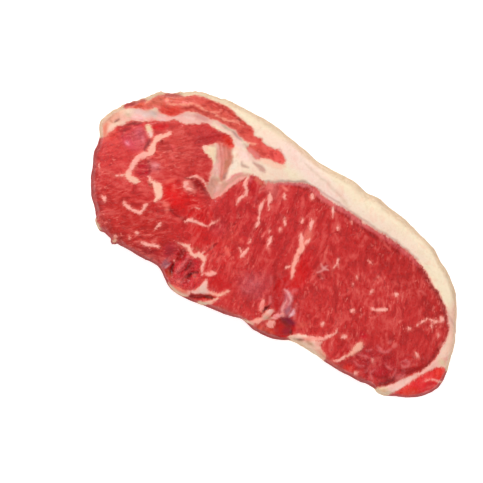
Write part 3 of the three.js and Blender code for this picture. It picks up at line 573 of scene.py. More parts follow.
FAT = (248, 229, 200)
FAT_PATCHES = [
    # the strands inside the muscles
    (EYE, (253, 178, 165), 1, 1.4),
    (STRIP, (246, 156, 132), 1, 1),
    (CORNER, (250, 160, 150), 1, 1),
    (line(5, (-63, -8), (-60, -9), (-58, -11.4), (-57.4, -14.4)), (255, 200, 176), 0.9, 1.4),
    (line(5, (-69.5, 13.5), (-72.6, 9), (-71.4, 1)), (255, 188, 166), 0.8, 1.5),
    (line(5, (-75.7, -12.2), (-71.6, -12.6), (-67.4, -11)), (246, 190, 166), 0.85, 1.5),
    (line(5, (-35.4, -24.2), (-29, -25.2), (-23.4, -24.6)), (255, 190, 170), 0.85, 1.4),
    (line(5, (-80.1, 12), (-77.6, 10.2)), (236, 204, 164), 0.9, 1.2),
    (line(2.6, (-76.6, 9.8), (-75, 8.4)), (242, 206, 196), 0.8, 1),
    (line(5, (10.4, 7.6), (10.8, 1.6), (13.8, -7.6)), (255, 172, 154), 0.8, 1.4),
    (line(6, (58, -16), (56.6, -20), (55.8, -24)), (246, 178, 154), 0.85, 1.4),
    (line(3.4, (-13.4, -36), (-9.3, -34), (-6.4, -31)), (250, 168, 146), 0.85, 1.2),
    # fat cap
    (line(9, (-22, 39), (-8, 36.6), (4, 33.4), (16, 31.4)), (250, 221, 208), 0.9, 3),
    (spot(-27, 37.5, 10, 3), (251, 214, 200), 0.7, 3),
    (line(6, (16, 33), (40, 33.4), (60, 31.8)), (250, 222, 204), 0.7, 3),
    # Darker lines along the cap's outer edge: painted shade where the rounded edge falls away
    (line(2.6, (-60, 42.4), (-48, 45), (-30, 45.6), (-14, 44.8)), (218, 198, 176), 0.75, 1.4),
    (line(2.2, (-14, 44.4), (2, 43.4), (22, 44.6)), (228, 206, 178), 0.7, 1.5),
    (line(3, (22, 44), (44, 42.8), (60, 39.8), (76, 31.8), (86, 22.4)), (206, 176, 146), 0.9, 1.8),
    (line(1.4, (35, 43.3), (39, 43.2)), (196, 170, 142), 0.8, 0.9),
    (line((0.9, 1.2), (-10, 38), (-4, 36.9), (4, 35.9), (10, 34.8), (18, 32.4)),
     (226, 196, 172), 0.75, 0.9),
    (line(1.4, (-20, 42.6), (-12, 41.4), (-4, 40.6)), (244, 212, 184), 0.6, 1.4),
    (line(7, (84, 22), (91, 12), (94, 3), (94, -3)), (250, 196, 176), 0.85, 3),
    (line(3, (95, 6), (97, -1)), (238, 180, 160), 0.7, 1.6),
    (line((1, 1.4), (84, 16.4), (88, 15), (92.4, 12.6), (94.4, 8.8)), (215, 162, 148), 0.85, 0.8),
    (line((1.6, 1), (81.5, 18.4), (87.4, 12.2), (89.6, 4), (90, -3)), (228, 170, 160), 0.55, 0.9),
    (line(7, (91.6, -4), (88.6, -12), (84.4, -19), (80.4, -26)), (250, 186, 174), 0.9, 2),
    (spot(92, 0.6, 1.8, 1.4), (250, 206, 188), 0.8, 1.2),
    (spot(94.6, -0.6, 1.4), (250, 170, 160), 0.8, 1.2),
    (spot(93, -2.8, 1.6, 1.2), (236, 210, 172), 0.85, 1.1),
    (line((2, 4), (85.4, -17), (83.4, -21), (81.2, -26.4)), (252, 210, 198), 0.85, 1.2),
    (spot(78.6, -29, 2.8, 2), (230, 186, 150), 0.85, 1.4),
    (spot(77, -28.4, 1.4, 1), (226, 196, 156), 0.8, 0.9),
    (spot(82, -28.6, 1.6, 1.1), (202, 180, 150), 0.85, 1),
    (line(1.2, (77.6, -31.6), (81, -31)), (190, 140, 118), 0.7, 0.9),
    # seam between the strip muscle and the eye
    (line((9, 6), (-97, 8), (-91, 10), (-84, 15), (-76, 18.6)), (236, 172, 156), 0.9, 2),
    (line((5, 4), (-75, 19), (-70, 22.8), (-66, 26)), (246, 190, 176), 0.9, 1.6),
    (spot(-94.4, 11.3, 2.4, 1.6), (250, 211, 181), 0.85, 1.4),
    (spot(-90.1, 12.8, 2.4, 1.6, 30), (240, 215, 191), 0.85, 1.3),
    (spot(-86.3, 14.7, 2.2, 1.4, 30), (236, 194, 190), 0.85, 1.3),
    (spot(-83, 15.8, 1.8, 1.3, 30), (228, 198, 193), 0.85, 1.2),
    (spot(-81, 18, 1.6, 1.1, 30), (212, 188, 182), 0.85, 1.1),
    (spot(-79.1, 17.5, 1.6, 1.1, 20), (212, 190, 180), 0.85, 1),
    (spot(-76.8, 19, 1.8, 1.1, 30), (250, 191, 185), 0.85, 1.1),
    (spot(-74.9, 17.6, 1.4, 0.9, 30), (220, 170, 174), 0.8, 1),
    (spot(-73.4, 19.9, 1.6, 1.1, 40), (250, 176, 170), 0.85, 1.1),
    (spot(-68.7, 23.4, 2, 1.2, 40), (245, 200, 190), 0.85, 1.2),
    (spot(-66.8, 24.8, 1.6, 1, 40), (235, 205, 186), 0.8, 1.1),
    (spot(-83.9, 12.8, 1.6, 1), (235, 161, 164), 0.8, 1),
    (spot(-86.3, 11.2, 1.4, 1), (240, 171, 169), 0.8, 1),
    (line(2, (-81, 14), (-77.6, 15.4)), (243, 145, 144), 0.8, 1),
    (spot(-89.1, 11.1, 1.2, 0.9), (215, 180, 151), 0.85, 0.9),
    (line(5.4, (-69, 23), (-63, 26.8), (-56, 29.6)), (244, 184, 174), 0.85, 1.4),
    (line(2.2, (-64, 27.8), (-58, 29.2)), (222, 148, 142), 0.8, 1),
    (line(1, (-68, 24.6), (-63.6, 26)), (250, 214, 206), 0.7, 0.8),
    (line((2, 1.8), (-54, 30.4), (-47, 30.2), (-41, 29.6)), (244, 188, 178), 0.8, 1.2),
    (line(1.3, (-51, 30.8), (-46.8, 31.3)), (198, 172, 148), 0.9, 0.8),
    (line((1.6, 1), (-45.6, 31.2), (-40, 30.4)), (194, 138, 138), 0.9, 0.8),
    (line(1, (-53, 31.5), (-47, 32.6), (-40, 31.8)), (240, 150, 150), 0.7, 0.7),
    # left tip
    (spot(-97, 4, 4.4, 8, -8), (235, 166, 143), 0.95, 3),
    (spot(-94.4, -1.6, 2.6, 3.4, 10), (240, 134, 110), 0.85, 2),
    (line(1.6, (-98, 8), (-99.6, 1.6), (-96, -4.4)), (196, 150, 122), 0.8, 1.2),
    (line(1.8, (-97.8, 6.6), (-96.6, 9.2)), (214, 190, 160), 0.8, 1.1),
    (line(2.2, (-87.7, 7.9), (-91, 4.1), (-92.7, 1.8), (-93.2, -0.1)), (250, 204, 184), 0.85, 1),
    # brown lines in the creases of the tip: painted shade
    (line(0.9, (-95.8, 5.1), (-93.4, 4.2)), (200, 112, 87), 0.8, 0.6),
    (line(1.1, (-91.8, 7.2), (-92.7, 5.1)), (120, 52, 38), 0.9, 0.7),
    (line(1.6, (-93.6, -7.6), (-92.4, -6.2)), (246, 176, 158), 0.8, 1),
    (line(1, (-97, 9.4), (-95.6, 6.8), (-96.2, 3.6)), (212, 134, 106), 0.75, 0.8),
    (line(0.9, (-94.6, 10), (-92.6, 8.4)), (226, 158, 130), 0.7, 0.8),
    (line(1, (-95.4, 2.6), (-93.8, -1.4)), (226, 118, 96), 0.75, 0.8),
    (line(2, (-90, 20.8), (-86.6, 24), (-83.4, 29.4)), (160, 128, 92), 0.85, 1),
    (spot(-83, 29.4, 1.4, 0.9, 30), (126, 119, 94), 0.85, 0.8),
    (spot(-75.1, 35.6, 1.2, 1.6), (202, 204, 204), 0.85, 1),
    # open pocket: a sheet of tissue between two bodies of fat
    (loop((-42, 28.4), (-33, 27), (-25, 29.8), (-16, 30), (-12, 27), (-20.4, 20.8), (-28, 20.4),
          (-30.4, 18.8), (-34.2, 13), (-36.6, 8.2), (-37.6, 11), (-37, 15), (-38.6, 20),
          (-40.6, 25)), (250, 220, 198), 0.9, 1),
    (loop((-49, 24.2), (-45, 26.4), (-41.6, 26.2), (-40.4, 23.4), (-38.8, 20), (-37.2, 16.4),
          (-36.1, 13.2), (-36, 10.8), (-36.8, 9), (-38.6, 9.8), (-40.4, 11.6), (-42.6, 15.4),
          (-44.6, 19), (-46.8, 21.8)), (212, 122, 106), 0.95, 0.8),
    (line(1.8, (-47.6, 22.4), (-45.4, 18.8), (-44, 16)), (226, 152, 138), 0.85, 0.9),
    (line(2.8, (-43.8, 15.4), (-42.2, 12.8), (-40.4, 10.4)), (252, 194, 184), 0.9, 0.9),
    (line(1.3, (-45.4, 21.6), (-42.8, 17.4), (-40.4, 13.4)), (232, 138, 128), 0.8, 0.8),
    (spot(-39.8, 17.2, 1.2, 3, 24), (192, 124, 98), 0.9, 1.2),
    (spot(-41.3, 21.8, 0.8, 1.4, 24), (186, 106, 90), 0.8, 0.8),
    (spot(-45, 24.7, 3.2, 1.2, 14), (222, 72, 58), 0.9, 1.3),
    (line(0.8, (-47.2, 24.6), (-44.6, 21.4)), (246, 150, 138), 0.8, 0.6),
    (line(0.9, (-48.2, 23.4), (-43.2, 17.1), (-39, 10.9)), (252, 182, 172), 0.95, 0.6),
    (line(0.7, (-46.4, 24.2), (-42, 18.6), (-38.4, 12.6)), (244, 160, 150), 0.85, 0.6),
    (line(0.6, (-44.6, 24.4), (-41, 19.6)), (240, 150, 138), 0.7, 0.5),
    (line(1, (-37, 14), (-36.8, 11)), (152, 120, 110), 0.8, 0.7),
    (loop((-52.4, 18.2), (-50.4, 19.8), (-48, 20.8), (-46.4, 18.8), (-45.2, 16.2), (-44.6, 14.6),
          (-46.2, 14.2), (-50.4, 16)), (246, 218, 184), 0.95, 0.9),
    (spot(-51.4, 18.2, 1.3, 1), (250, 186, 172), 0.85, 1),
    (line(1, (-50.8, 20.2), (-48.4, 21.6)), (212, 132, 114), 0.75, 0.8),
    (line(2.4, (-43, 11.2), (-40.8, 9.6)), (242, 176, 164), 0.85, 1),
    (spot(-36.2, 18, 1.2, 3.6, 12), (243, 228, 208), 0.8, 1.3),
    (spot(-35, 24.8, 3, 1.8), (250, 213, 205), 0.8, 1.4),
    (line(2.6, (-27.4, 28.4), (-24, 29.4), (-20, 29.8), (-17, 31.6)), (253, 198, 172), 0.8, 1.3),
    (line(2, (-35.4, 27), (-31.6, 26.2), (-28.4, 26.8)), (240, 182, 170), 0.7, 1.2),
    (spot(-40, 28.4, 3, 1.4), (250, 208, 200), 0.8, 1.2),
    (loop((-41.8, 8.6), (-37.2, 9.4), (-35, 10.4), (-33.8, 13.6), (-31.4, 17.6), (-28.4, 19.4),
          (-30.6, 14), (-32, 8.6), (-34, 3), (-36.6, 0.4), (-39.6, 2.4), (-42, 5)),
     (218, 150, 134), 0.95, 0.9),
    (spot(-34.6, 9.4, 1.6, 1.4), (205, 151, 131), 0.85, 1.1),
    (spot(-38.8, 8.8, 1.8, 1.1), (207, 153, 132), 0.85, 1),
    (line(1.2, (-35.2, 11), (-33.2, 15.6), (-31.2, 18)), (225, 121, 124), 0.85, 0.8),
    (spot(-36.9, 5.8, 1.1, 1.9), (234, 180, 169), 0.8, 1),
    (spot(-40.2, 6, 1.4, 2), (210, 160, 144), 0.5, 1.2),
    (spot(-35.5, 3.2, 0.9, 1.6, -20), (238, 158, 150), 0.8, 0.9),
    (line(1.3, (-42.6, 8.8), (-42.6, 6.4)), (245, 151, 145), 0.85, 0.8),
    (line(1.4, (-37.6, 8.4), (-36.6, 9)), (246, 204, 178), 0.85, 0.7),
    (line(1.2, (-35.2, 0.9), (-33.2, 4.6), (-32.6, 9.4), (-31.1, 14), (-29.6, 17.6)), (253, 172, 161),
     0.85, 0.7),
    (loop((-30.2, 25.2), (-27, 25.7), (-24, 25.9), (-22.7, 24.4), (-24, 23.4), (-26.4, 23.8),
          (-28.8, 24.2)), (202, 152, 138), 0.9, 0.7),
    (line(1.3, (-34.4, 22.2), (-33.2, 21), (-30.6, 21.6)), (192, 152, 137), 0.9, 0.8),
    (line(1.4, (-37.6, 29.6), (-34.6, 28.4), (-32, 28)), (212, 158, 142), 0.8, 1),
    (line(0.9, (-38.8, 20), (-38, 19.2)), (178, 124, 108), 0.8, 0.6),
    (line((0.8, 1.2), (-21, 20.2), (-17.6, 22.4), (-12.6, 26.2), (-6.6, 30), (-3, 31)), (186, 146, 134),
     0.85, 0.7),
    (line(0.9, (-3, 31.2), (6, 31.1), (16, 31.5), (30, 31.2), (44, 31.5), (58, 30.4)), (204, 152, 142),
     0.75, 0.7),
    # lower edge
    (loop((-80, -34), (-72, -36), (-64, -39), (-66, -46), (-82, -44)), (232, 200, 168), 0.95, 1),
    (line(1.2, (-77, -36), (-74.6, -38)), (196, 180, 156), 0.7, 0.9),
    (line(5, (-38, -40.6), (-31, -43.2)), (200, 128, 86), 0.95, 1.4),
    (line(5, (-30, -42.8), (-22.6, -41.6)), (237, 122, 101), 0.95, 1.4),
    (spot(-20.6, -40, 1.6, 1.2), (245, 160, 145), 0.85, 1),
    (loop((-16.8, -30.4), (-19.4, -36), (-21.4, -40.6), (-14, -39.6), (-12.4, -36.4)),
     (244, 190, 176), 0.9, 1),
    (spot(-16.4, -36.6, 1.6, 2, 20), (232, 196, 180), 0.7, 1),
    (line(3.4, (-9, -35.4), (-7.2, -34.6)), (236, 202, 172), 0.8, 1.2),
    (loop((-8, -36), (-8.8, -43), (-18, -46), (-14, -40.6), (-10.4, -37)), (236, 176, 154), 0.9, 1.2),
    (line(5, (15, -27), (13.6, -32), (8, -38)), (248, 166, 148), 0.85, 1.4),
    (spot(14.7, -27.2, 1.8, 1.6), (250, 196, 185), 0.85, 1),
    (spot(14.1, -31.1, 1.6, 1.4), (215, 166, 150), 0.85, 1),
    (line(1.6, (14.6, -31.6), (17.4, -29.6)), (204, 156, 132), 0.85, 0.8),
    (line(2.8, (18.5, -31.1), (17.7, -33.4)), (245, 161, 150), 0.85, 1),
    (line(3.4, (17.6, -28.2), (20.4, -26)), (240, 151, 154), 0.85, 1),
    (line(2.6, (9.6, -25.3), (10.4, -26.8), (11.6, -29.2)), (245, 137, 130), 0.85, 0.9),
    (loop((28, -27.6), (36, -27), (43, -25), (49, -30), (48, -40), (28, -42)), (254, 210, 190), 0.9, 1),
    (line(1.7, (33.5, -30.4), (38, -26.8), (42, -24)), (252, 158, 146), 0.85, 0.8),
    (line(1.1, (29, -30.6), (30.6, -28.5), (33.2, -28.1)), (246, 162, 144), 0.8, 0.7),
    (spot(36.6, -28.7, 1.7, 1, 20), (228, 142, 124), 0.8, 0.9),
    (spot(41.6, -27.2, 1.6, 1.2, 30), (236, 152, 138), 0.8, 1),
    (spot(43.6, -29.6, 1.5, 1.1), (232, 172, 152), 0.8, 1),
    (spot(37, -30.9, 1.7, 0.9), (246, 220, 198), 0.8, 0.9),
    (line(3, (34, -34), (40, -33.4), (47, -33.6)), (226, 206, 194), 0.85, 1.4),
    (line((1.2, 1.6), (31.4, -31.8), (33.2, -30.8), (34.7, -29.8)), (148, 84, 62), 0.9, 0.7),
    (spot(38.6, -29.4, 2, 0.8, 6), (192, 142, 112), 0.85, 0.8),
    (spot(46, -30.4, 3, 1.6), (228, 152, 124), 0.8, 1.4),
    (line(2, (30, -34.6), (36, -32)), (244, 170, 146), 0.8, 1),
]

# Plain colours of the sides, darker than the cut face's as painted shade, and the depths in millimetres
# between which they take over
SIDE_LEAN = (184, 46, 44)
SIDE_FAT = (226, 204, 178)
SIDE_FADE = (2, 7)

# Heights of the fine surface over the solid, in millimetres, and the sizes of its lumps along the grain
FAT_RISE = 0.32
STRAND_RISE = 0.14
BUNDLE_RISE = 0.22
THREAD_RISE = 0.1
SWELL = 0.22
UNDERSIDE_RISE = 0.12
BUNDLE_SIZE = (3.2, 0.9, 4)
THREAD_SIZE = (1.5, 0.55, 2)
FOLD_SIZE = (4.5, 2.2, 3)
TAB_SOFT = 0.8

# Relief of single places: where, how high in millimetres, and the soft edge

RELIEF = [
    (line((1.6, 0.8), (-22.6, -31), (-24.6, -33), (-26.6, -37.4)), -1, 1),
    (line(1.3, (-28.1, -28), (-27.8, -31), (-28.2, -34)), -0.8, 1),
    (line((1.2, 2), (-34.2, -33.6), (-33.8, -36), (-32.4, -39)), -1, 1),
    (line(2.2, (-33, -27.2), (-33.6, -31.4)), -1.2, 1),
    (line((1.4, 1.9), (-30.7, -26.8), (-30.4, -31), (-30.8, -37)), 0.7, 1),
    (line((0.9, 1.4), (-26.8, -28.6), (-26.7, -32), (-27.2, -37.4)), 0.5, 0.8),
    *[(wrinkle, 0.4, 0.8) for wrinkle in WRINKLES],
    (line(0.7, (-22.7, -15.6), (-23.4, -18), (-24.2, -20)), -0.5, 0.8),
    (line((2, 2.6), (11.4, -12.6), (12.6, -17), (14.2, -21), (16.2, -25.2)), -0.6, 1.4),
    (line((3.4, 4.4), (16.4, -15), (18.4, -19), (20.4, -24.2)), 0.7, 1.6),
    (loop((20.6, -26.4), (24, -25.4), (27.6, -26.2), (28.8, -29.6), (28.6, -32.4), (25.4, -34.4),
          (21.6, -33.4), (20.4, -30)), -1.1, 1.4),
    (line((0.8, 1.6), (13, -25.4), (12.2, -28.6), (12, -32.8)), -1.2, 0.9),
    (line((3, 3.6), (15, -27.2), (14.5, -29.8), (13.6, -32.4), (10, -36.4)), 0.8, 1.2),
    (line((1.2, 2.2), (-9.9, -36.6), (-14.4, -38.9), (-18.8, -41.8)), -1.5, 0.9),
    (line((1, 2), (89, -7.6), (85.4, -12.6), (81.4, -16.6), (77, -18.4)), -0.5, 1.2),
    (line((1.8, 1.2), (80.6, -21), (78, -25), (75, -28)), -1, 1.1),
    (line(1.4, (31.4, -31.8), (34.7, -29.8)), -0.9, 0.8),
    (line((1.6, 1), (-36, 1), (-39.4, 3.4), (-42, 6.4)), -0.5, 1.2),
    (loop((-48.4, 23.6), (-42, 24.4), (-39.4, 21.4), (-36.8, 14.6), (-36.4, 9), (-40, 11.5),
          (-44, 19)), -0.35, 1.4),
    (line(2.6, (-50.6, 18.4), (-46.6, 17.6), (-43.2, 12.4)), 0.3, 1.4),
    (line(1.2, (-92.2, 7.4), (-92.9, 5.2)), -0.8, 0.8),
    (line(1.4, (-86.4, 8.8), (-88.4, 6.6), (-89.6, 4.4)), -0.5, 0.9),
    (line((1.8, 1), (-79.4, 17.8), (-75, 18.6)), -0.6, 1),
    (line(1.3, (-51, 30.8), (-40, 30.4)), -0.5, 1),
    (loop((-30.2, 25.2), (-24, 25.9), (-22.7, 24.4), (-28.8, 24.2)), -0.4, 0.9),
    (line(1.3, (-34.4, 22.2), (-33.2, 21), (-30.6, 21.6)), -0.4, 0.8),
    (line(1.6, (24, -1.6), (26.2, -1.4)), -0.7, 0.8),
    (line(1, (-10, 38), (-4, 36.9), (4, 35.9), (10, 34.8), (18, 32.4)), -0.3, 1),
]

# Where the wet surface is crumpled: where, how strongly, and the soft edge
CRUMPLED = [
    (loop((-36, -26), (-25, -25.4), (-20, -32), (-22, -41), (-31, -42), (-36.4, -36)), 1, 2),
    (spot(70, -20, 16, 8, 12), 0.55, 4),
    (spot(19, -20, 6, 8, -70), 0.6, 3),
    (spot(1, -22, 9, 7), 0.5, 4),
    (spot(92, -14, 10, 5, 60), 0.3, 3),
]

# Where the lean is smooth and evenly coloured: where, how much, and the soft edge
CALM = [
    (loop((20, -25), (24, -24.4), (28, -25.6), (29.4, -30), (28.6, -34), (22, -35), (19.6, -30)), 1, 1.4),
    (line(4, (11, -13), (13.4, -19), (16, -24.6)), 1, 1.2),
    (line((4, 6), (16.8, -15.4), (21, -24.6)), 0.7, 1.2),
    (line((1.4, 3), (88.4, -8.4), (86, -11.6), (80.6, -16.4)), 0.9, 1),
    (CORNER, 0.5, 1),
    (line(5, (12.6, -11.6), (17.4, -9.6), (17, -3)), 0.7, 2),
    (spot(-51.6, -8.4, 6, 3.4, -6), 0.7, 2),
    (spot(72.4, -22, 3.6, 2, 28), 0.7, 1.4),
    (spot(-12, -30, 4.4, 3), 0.6, 2),
]

# Small tabs of tissue that stick out of the rim: where, and how far
TABS = [
    (spot(-76, 34.4, 1.6), 1.3),
    (spot(-74, -38, 3.6, 2.2, -20), 1.1),
    (spot(-62.6, -40, 1.2, 2), 1.8),
]

# Where the rim is ragged
RAGGED = line(7, (-96, 5), (-90, 19), (-82, 30), (-72, 37), (-55, 43))

# Where the muscle's grain runs, in degrees from +X, and the x at which it turns
LEFT_GRAIN = 42
CENTRE_GRAIN = -76
RIGHT_GRAIN = -62
STRIP_GRAIN = 14
GRAIN_BORDER_LEFT = -40
GRAIN_BORDER_RIGHT = 22


def patchwork(xy, base, patches):
    """The base colour with each patch laid over it in turn, less the light the wet surface adds."""
    colours = np.tile(linear(base), (len(xy), 1))
    for shape, colour, strength, soft in patches:
        cover = strength * smooth_step(shape(xy), -soft, soft)
        colours += cover[:, None] * (linear(colour) - colours)
    return np.maximum(colours - SHEEN, 0)


def strongest(xy, rows):
    """The strength, from 0 to 1, that the shapes in the rows give each place."""
    return np.maximum.reduce([
        strength * smooth_step(shape(xy), -soft, soft) for shape, strength, soft in rows])


def noise(points, size, seed):
    """Smooth noise from -1 to 1, with lumps about that size, one for all axes or one for each."""
    lattice = np.random.default_rng(seed).uniform(-1, 1, (NOISE_CELLS,) * 3)
    cells = points / size
    low = np.floor(cells).astype(int)
    share = cells - low
    share = share * share * (3 - 2 * share)
    total = np.zeros(len(points))
    for corner in itertools.product((0, 1), repeat=3):
        weight = np.prod(np.where(corner, share, 1 - share), axis=1)
        at = (low + corner) % NOISE_CELLS
        total += weight * lattice[at[:, 0], at[:, 1], at[:, 2]]
    return total


def fine_mesh(source):
    """A fine, even mesh of the solid, with cells twice as fine on the upper cut face."""
    scratch = bpy.data.objects.new("scratch", source.data.copy())
    bpy.context.scene.collection.objects.link(scratch)
    remesh = scratch.modifiers.new("remesh", "REMESH")
    remesh.mode = "VOXEL"
    remesh.voxel_size = VOXEL * MM
    shown = scratch.evaluated_get(bpy.context.evaluated_depsgraph_get())
    mesh = bpy.data.meshes.new_from_object(shown)
    bpy.data.objects.remove(scratch)
    work = bmesh.new()
    work.from_mesh(mesh)
    work.normal_update()
    top = {edge for face in work.faces if face.normal.z > TOP_NORMAL_Z for edge in face.edges}
    bmesh.ops.subdivide_edges(work, edges=list(top), cuts=1, use_grid_fill=True)
    work.to_mesh(mesh)
    work.free()
    return mesh


def smoothed(mesh, places, passes):
    """The vertices' places after each is moved towards the middle of its neighbours, in turn."""
    edges = np.empty(2 * len(mesh.edges), dtype=int)
    mesh.edges.foreach_get("vertices", edges)
    a, b = edges.reshape(-1, 2).T
    degree = np.bincount(a, minlength=len(places)) + np.bincount(b, minlength=len(places))
    for _ in range(passes):
        total = np.zeros_like(places)
        for axis in range(3):
            total[:, axis] = (np.bincount(a, places[b, axis], len(places))
                              + np.bincount(b, places[a, axis], len(places)))
        places = 0.5 * places + 0.5 * total / degree[:, None]
    return places


def read_vectors(collection, name):
    values = np.empty(3 * len(collection))
    collection.foreach_get(name, values)
    return values.reshape(-1, 3)


def pattern_places(places):
    """Where on the cut face's pattern each vertex lies: straight below it, but adrift with depth."""
    depth = np.clip(TOP_HEIGHT - 5 - places[:, 2], 0, None) / TOP_HEIGHT
    drift = 7 * depth[:, None] * np.stack(
        [noise(places, 26, 11), noise(places, 26, 12)], axis=1)
    wobble = 0.5 * np.stack([noise(places, 3.2, 13), noise(places, 3.2, 14)], axis=1)
    wobble += 0.25 * np.stack([noise(places, 1.3, 15), noise(places, 1.3, 16)], axis=1)
    return places[:, :2] + drift + wobble


def grain_places(xy, z):
    """Each vertex along and across the grain of its muscle, in millimetres."""
    spots = np.stack([*xy.T, z], axis=1)
    x = xy[:, 0] + 10 * noise(spots, 13, 17) + 6 * noise(spots, 4, 35)
    angle = np.where(x < GRAIN_BORDER_LEFT, LEFT_GRAIN, CENTRE_GRAIN)
    angle = np.where(x > GRAIN_BORDER_RIGHT, RIGHT_GRAIN, angle)
    angle = np.radians(np.where(STRIP(xy) > -0.5, STRIP_GRAIN, angle))
    along = xy[:, 0] * np.cos(angle) + xy[:, 1] * np.sin(angle)
    across = xy[:, 1] * np.cos(angle) - xy[:, 0] * np.sin(angle)
    return np.stack([along, across, z], axis=1)


# The kind of an attribute, by how many numbers each vertex has
ATTRIBUTE_KINDS = {1: ("FLOAT", "value"), 3: ("FLOAT_VECTOR", "vector"), 4: ("FLOAT_COLOR", "color")}


def add_attribute(mesh, name, values):
    kind, field = ATTRIBUTE_KINDS[values.size // len(values)]
    attribute = mesh.attributes.new(name, kind, "POINT")
    attribute.data.foreach_set(field, np.ascontiguousarray(values, dtype=np.float32).ravel())


def add_colour(mesh, name, colours):
    add_attribute(mesh, name, np.hstack([colours, np.ones((len(colours), 1))]))


def fat_inside(xy, places, grain):
    """How far inside the broad fat and inside the strands each vertex lies, in millimetres."""
    lean = np.maximum.reduce([EYE(xy), STRIP(xy), CORNER(xy)])
    strands = np.maximum.reduce([shape(xy) for shape in VEINS])
    strands += STRAND_EXTRA + 0.32 * noise(grain, 2.3, 18) + 0.22 * noise(grain, 1.1, 19)
    areas = np.maximum.reduce([shape(xy) for shape in FAT_AREAS])
    fade = smooth_step(TOP_HEIGHT - places[:, 2], *FAT_FADE)
    areas -= fade * (2 + 4 * noise(places, 8, 36) + 2 * noise(places, 3, 37))
    return np.maximum(-lean, areas), strands


def surface_height(xy, places, grain, broad_fat, strands, crumple):
    """How far the fine surface lies above the solid, in millimetres."""
    height = FAT_RISE * smooth_step(broad_fat, -0.6, 1.2)
    height += STRAND_RISE * smooth_step(strands, -0.6, 0.5)
    for shape, rise, soft in RELIEF:
        height += rise * smooth_step(shape(xy), -soft, soft)
    meat = smooth_step(-np.maximum(broad_fat, strands), -0.4, 0.8)
    height += meat * BUNDLE_RISE * noise(grain, BUNDLE_SIZE, 21)
    height += meat * THREAD_RISE * noise(grain, THREAD_SIZE, 22)
    height += (1 - meat) * (0.16 * noise(places, 5, 23) + 0.05 * noise(places, 1.6, 24))
    height += crumple * (0.55 * noise(grain, FOLD_SIZE, 25) + 0.3 * noise(places, 1.8, 26))
    return height + SWELL * noise(places, 11, 27)


def rim_shift(xy, places):
    """How far the rim lies outside the solid, in millimetres, more uneven where it is ragged."""
    shift = 0.5 * noise(places / (1, 1, 2.4), 6, 31) + 0.2 * noise(places / (1, 1, 1.8), 2.2, 32)
    shift += 0.6 * smooth_step(RAGGED(xy), -3, 3) * noise(places / (1, 1, 2), 1.9, 34)
    return shift + sum(reach * smooth_step(shape(xy), -TAB_SOFT, TAB_SOFT) for shape, reach in TABS)


def build_steak(source):
    mesh = fine_mesh(source)
    mesh.name = "steak_flesh"
    places = smoothed(mesh, read_vectors(mesh.vertices, "co") / MM, SMOOTHING_PASSES)
    mesh.vertices.foreach_set("co", (places * MM).ravel())
    mesh.update()
    normals = read_vectors(mesh.vertices, "normal")
    upward = smooth_step(normals[:, 2], 0.1, 0.75)
    downward = smooth_step(-normals[:, 2], 0.3, 0.9)
    wall = 1 - smooth_step(np.abs(normals[:, 2]), 0.35, 0.85)

    xy = pattern_places(places)
    grain = grain_places(xy, places[:, 2])
    broad_fat, strands = fat_inside(xy, places, grain)
    crumple = strongest(xy, CRUMPLED)
    lift = (rim_shift(xy, places) * wall)[:, None] * normals * (1, 1, 0.2)
    lift[:, 2] += surface_height(xy, places, grain, broad_fat, strands, crumple) * upward
    lift[:, 2] += UNDERSIDE_RISE * downward * (1 + noise(places, 4, 33))
    mesh.vertices.foreach_set("co", ((places + lift) * MM).ravel())
    mesh.update()

    # The steep sides blend to the darker side colours: painted shade
    side = 0.8 * wall * smooth_step(TOP_HEIGHT - places[:, 2], *SIDE_FADE)
    for name, tint, plain, patches in (
            ("lean_tint", LEAN, SIDE_LEAN, LEAN_PATCHES), ("fat_tint", FAT, SIDE_FAT, FAT_PATCHES)):
        colours = patchwork(xy, tint, patches)
        add_colour(mesh, name, colours + side[:, None] * (linear(plain) - colours))
    add_attribute(mesh, "fat", np.maximum(broad_fat, strands))
    add_attribute(mesh, "grain", grain)
    add_attribute(mesh, "wall", wall * np.clip(1 - upward, 0, 1))
    # How far the surface turns from straight up; the material darkens the fat there as painted shade
    add_attribute(mesh, "rim", 1 - smooth_step(normals[:, 2], 0.5, 0.93))
    add_attribute(mesh, "crumple", crumple)
    add_attribute(mesh, "calm", strongest(xy, CALM))
    mesh.polygons.foreach_set("use_smooth", np.ones(len(mesh.polygons), dtype=bool))
    piece = bpy.data.objects.new("steak_flesh", mesh)
    bpy.context.scene.collection.objects.link(piece)
    return piece


# Materials

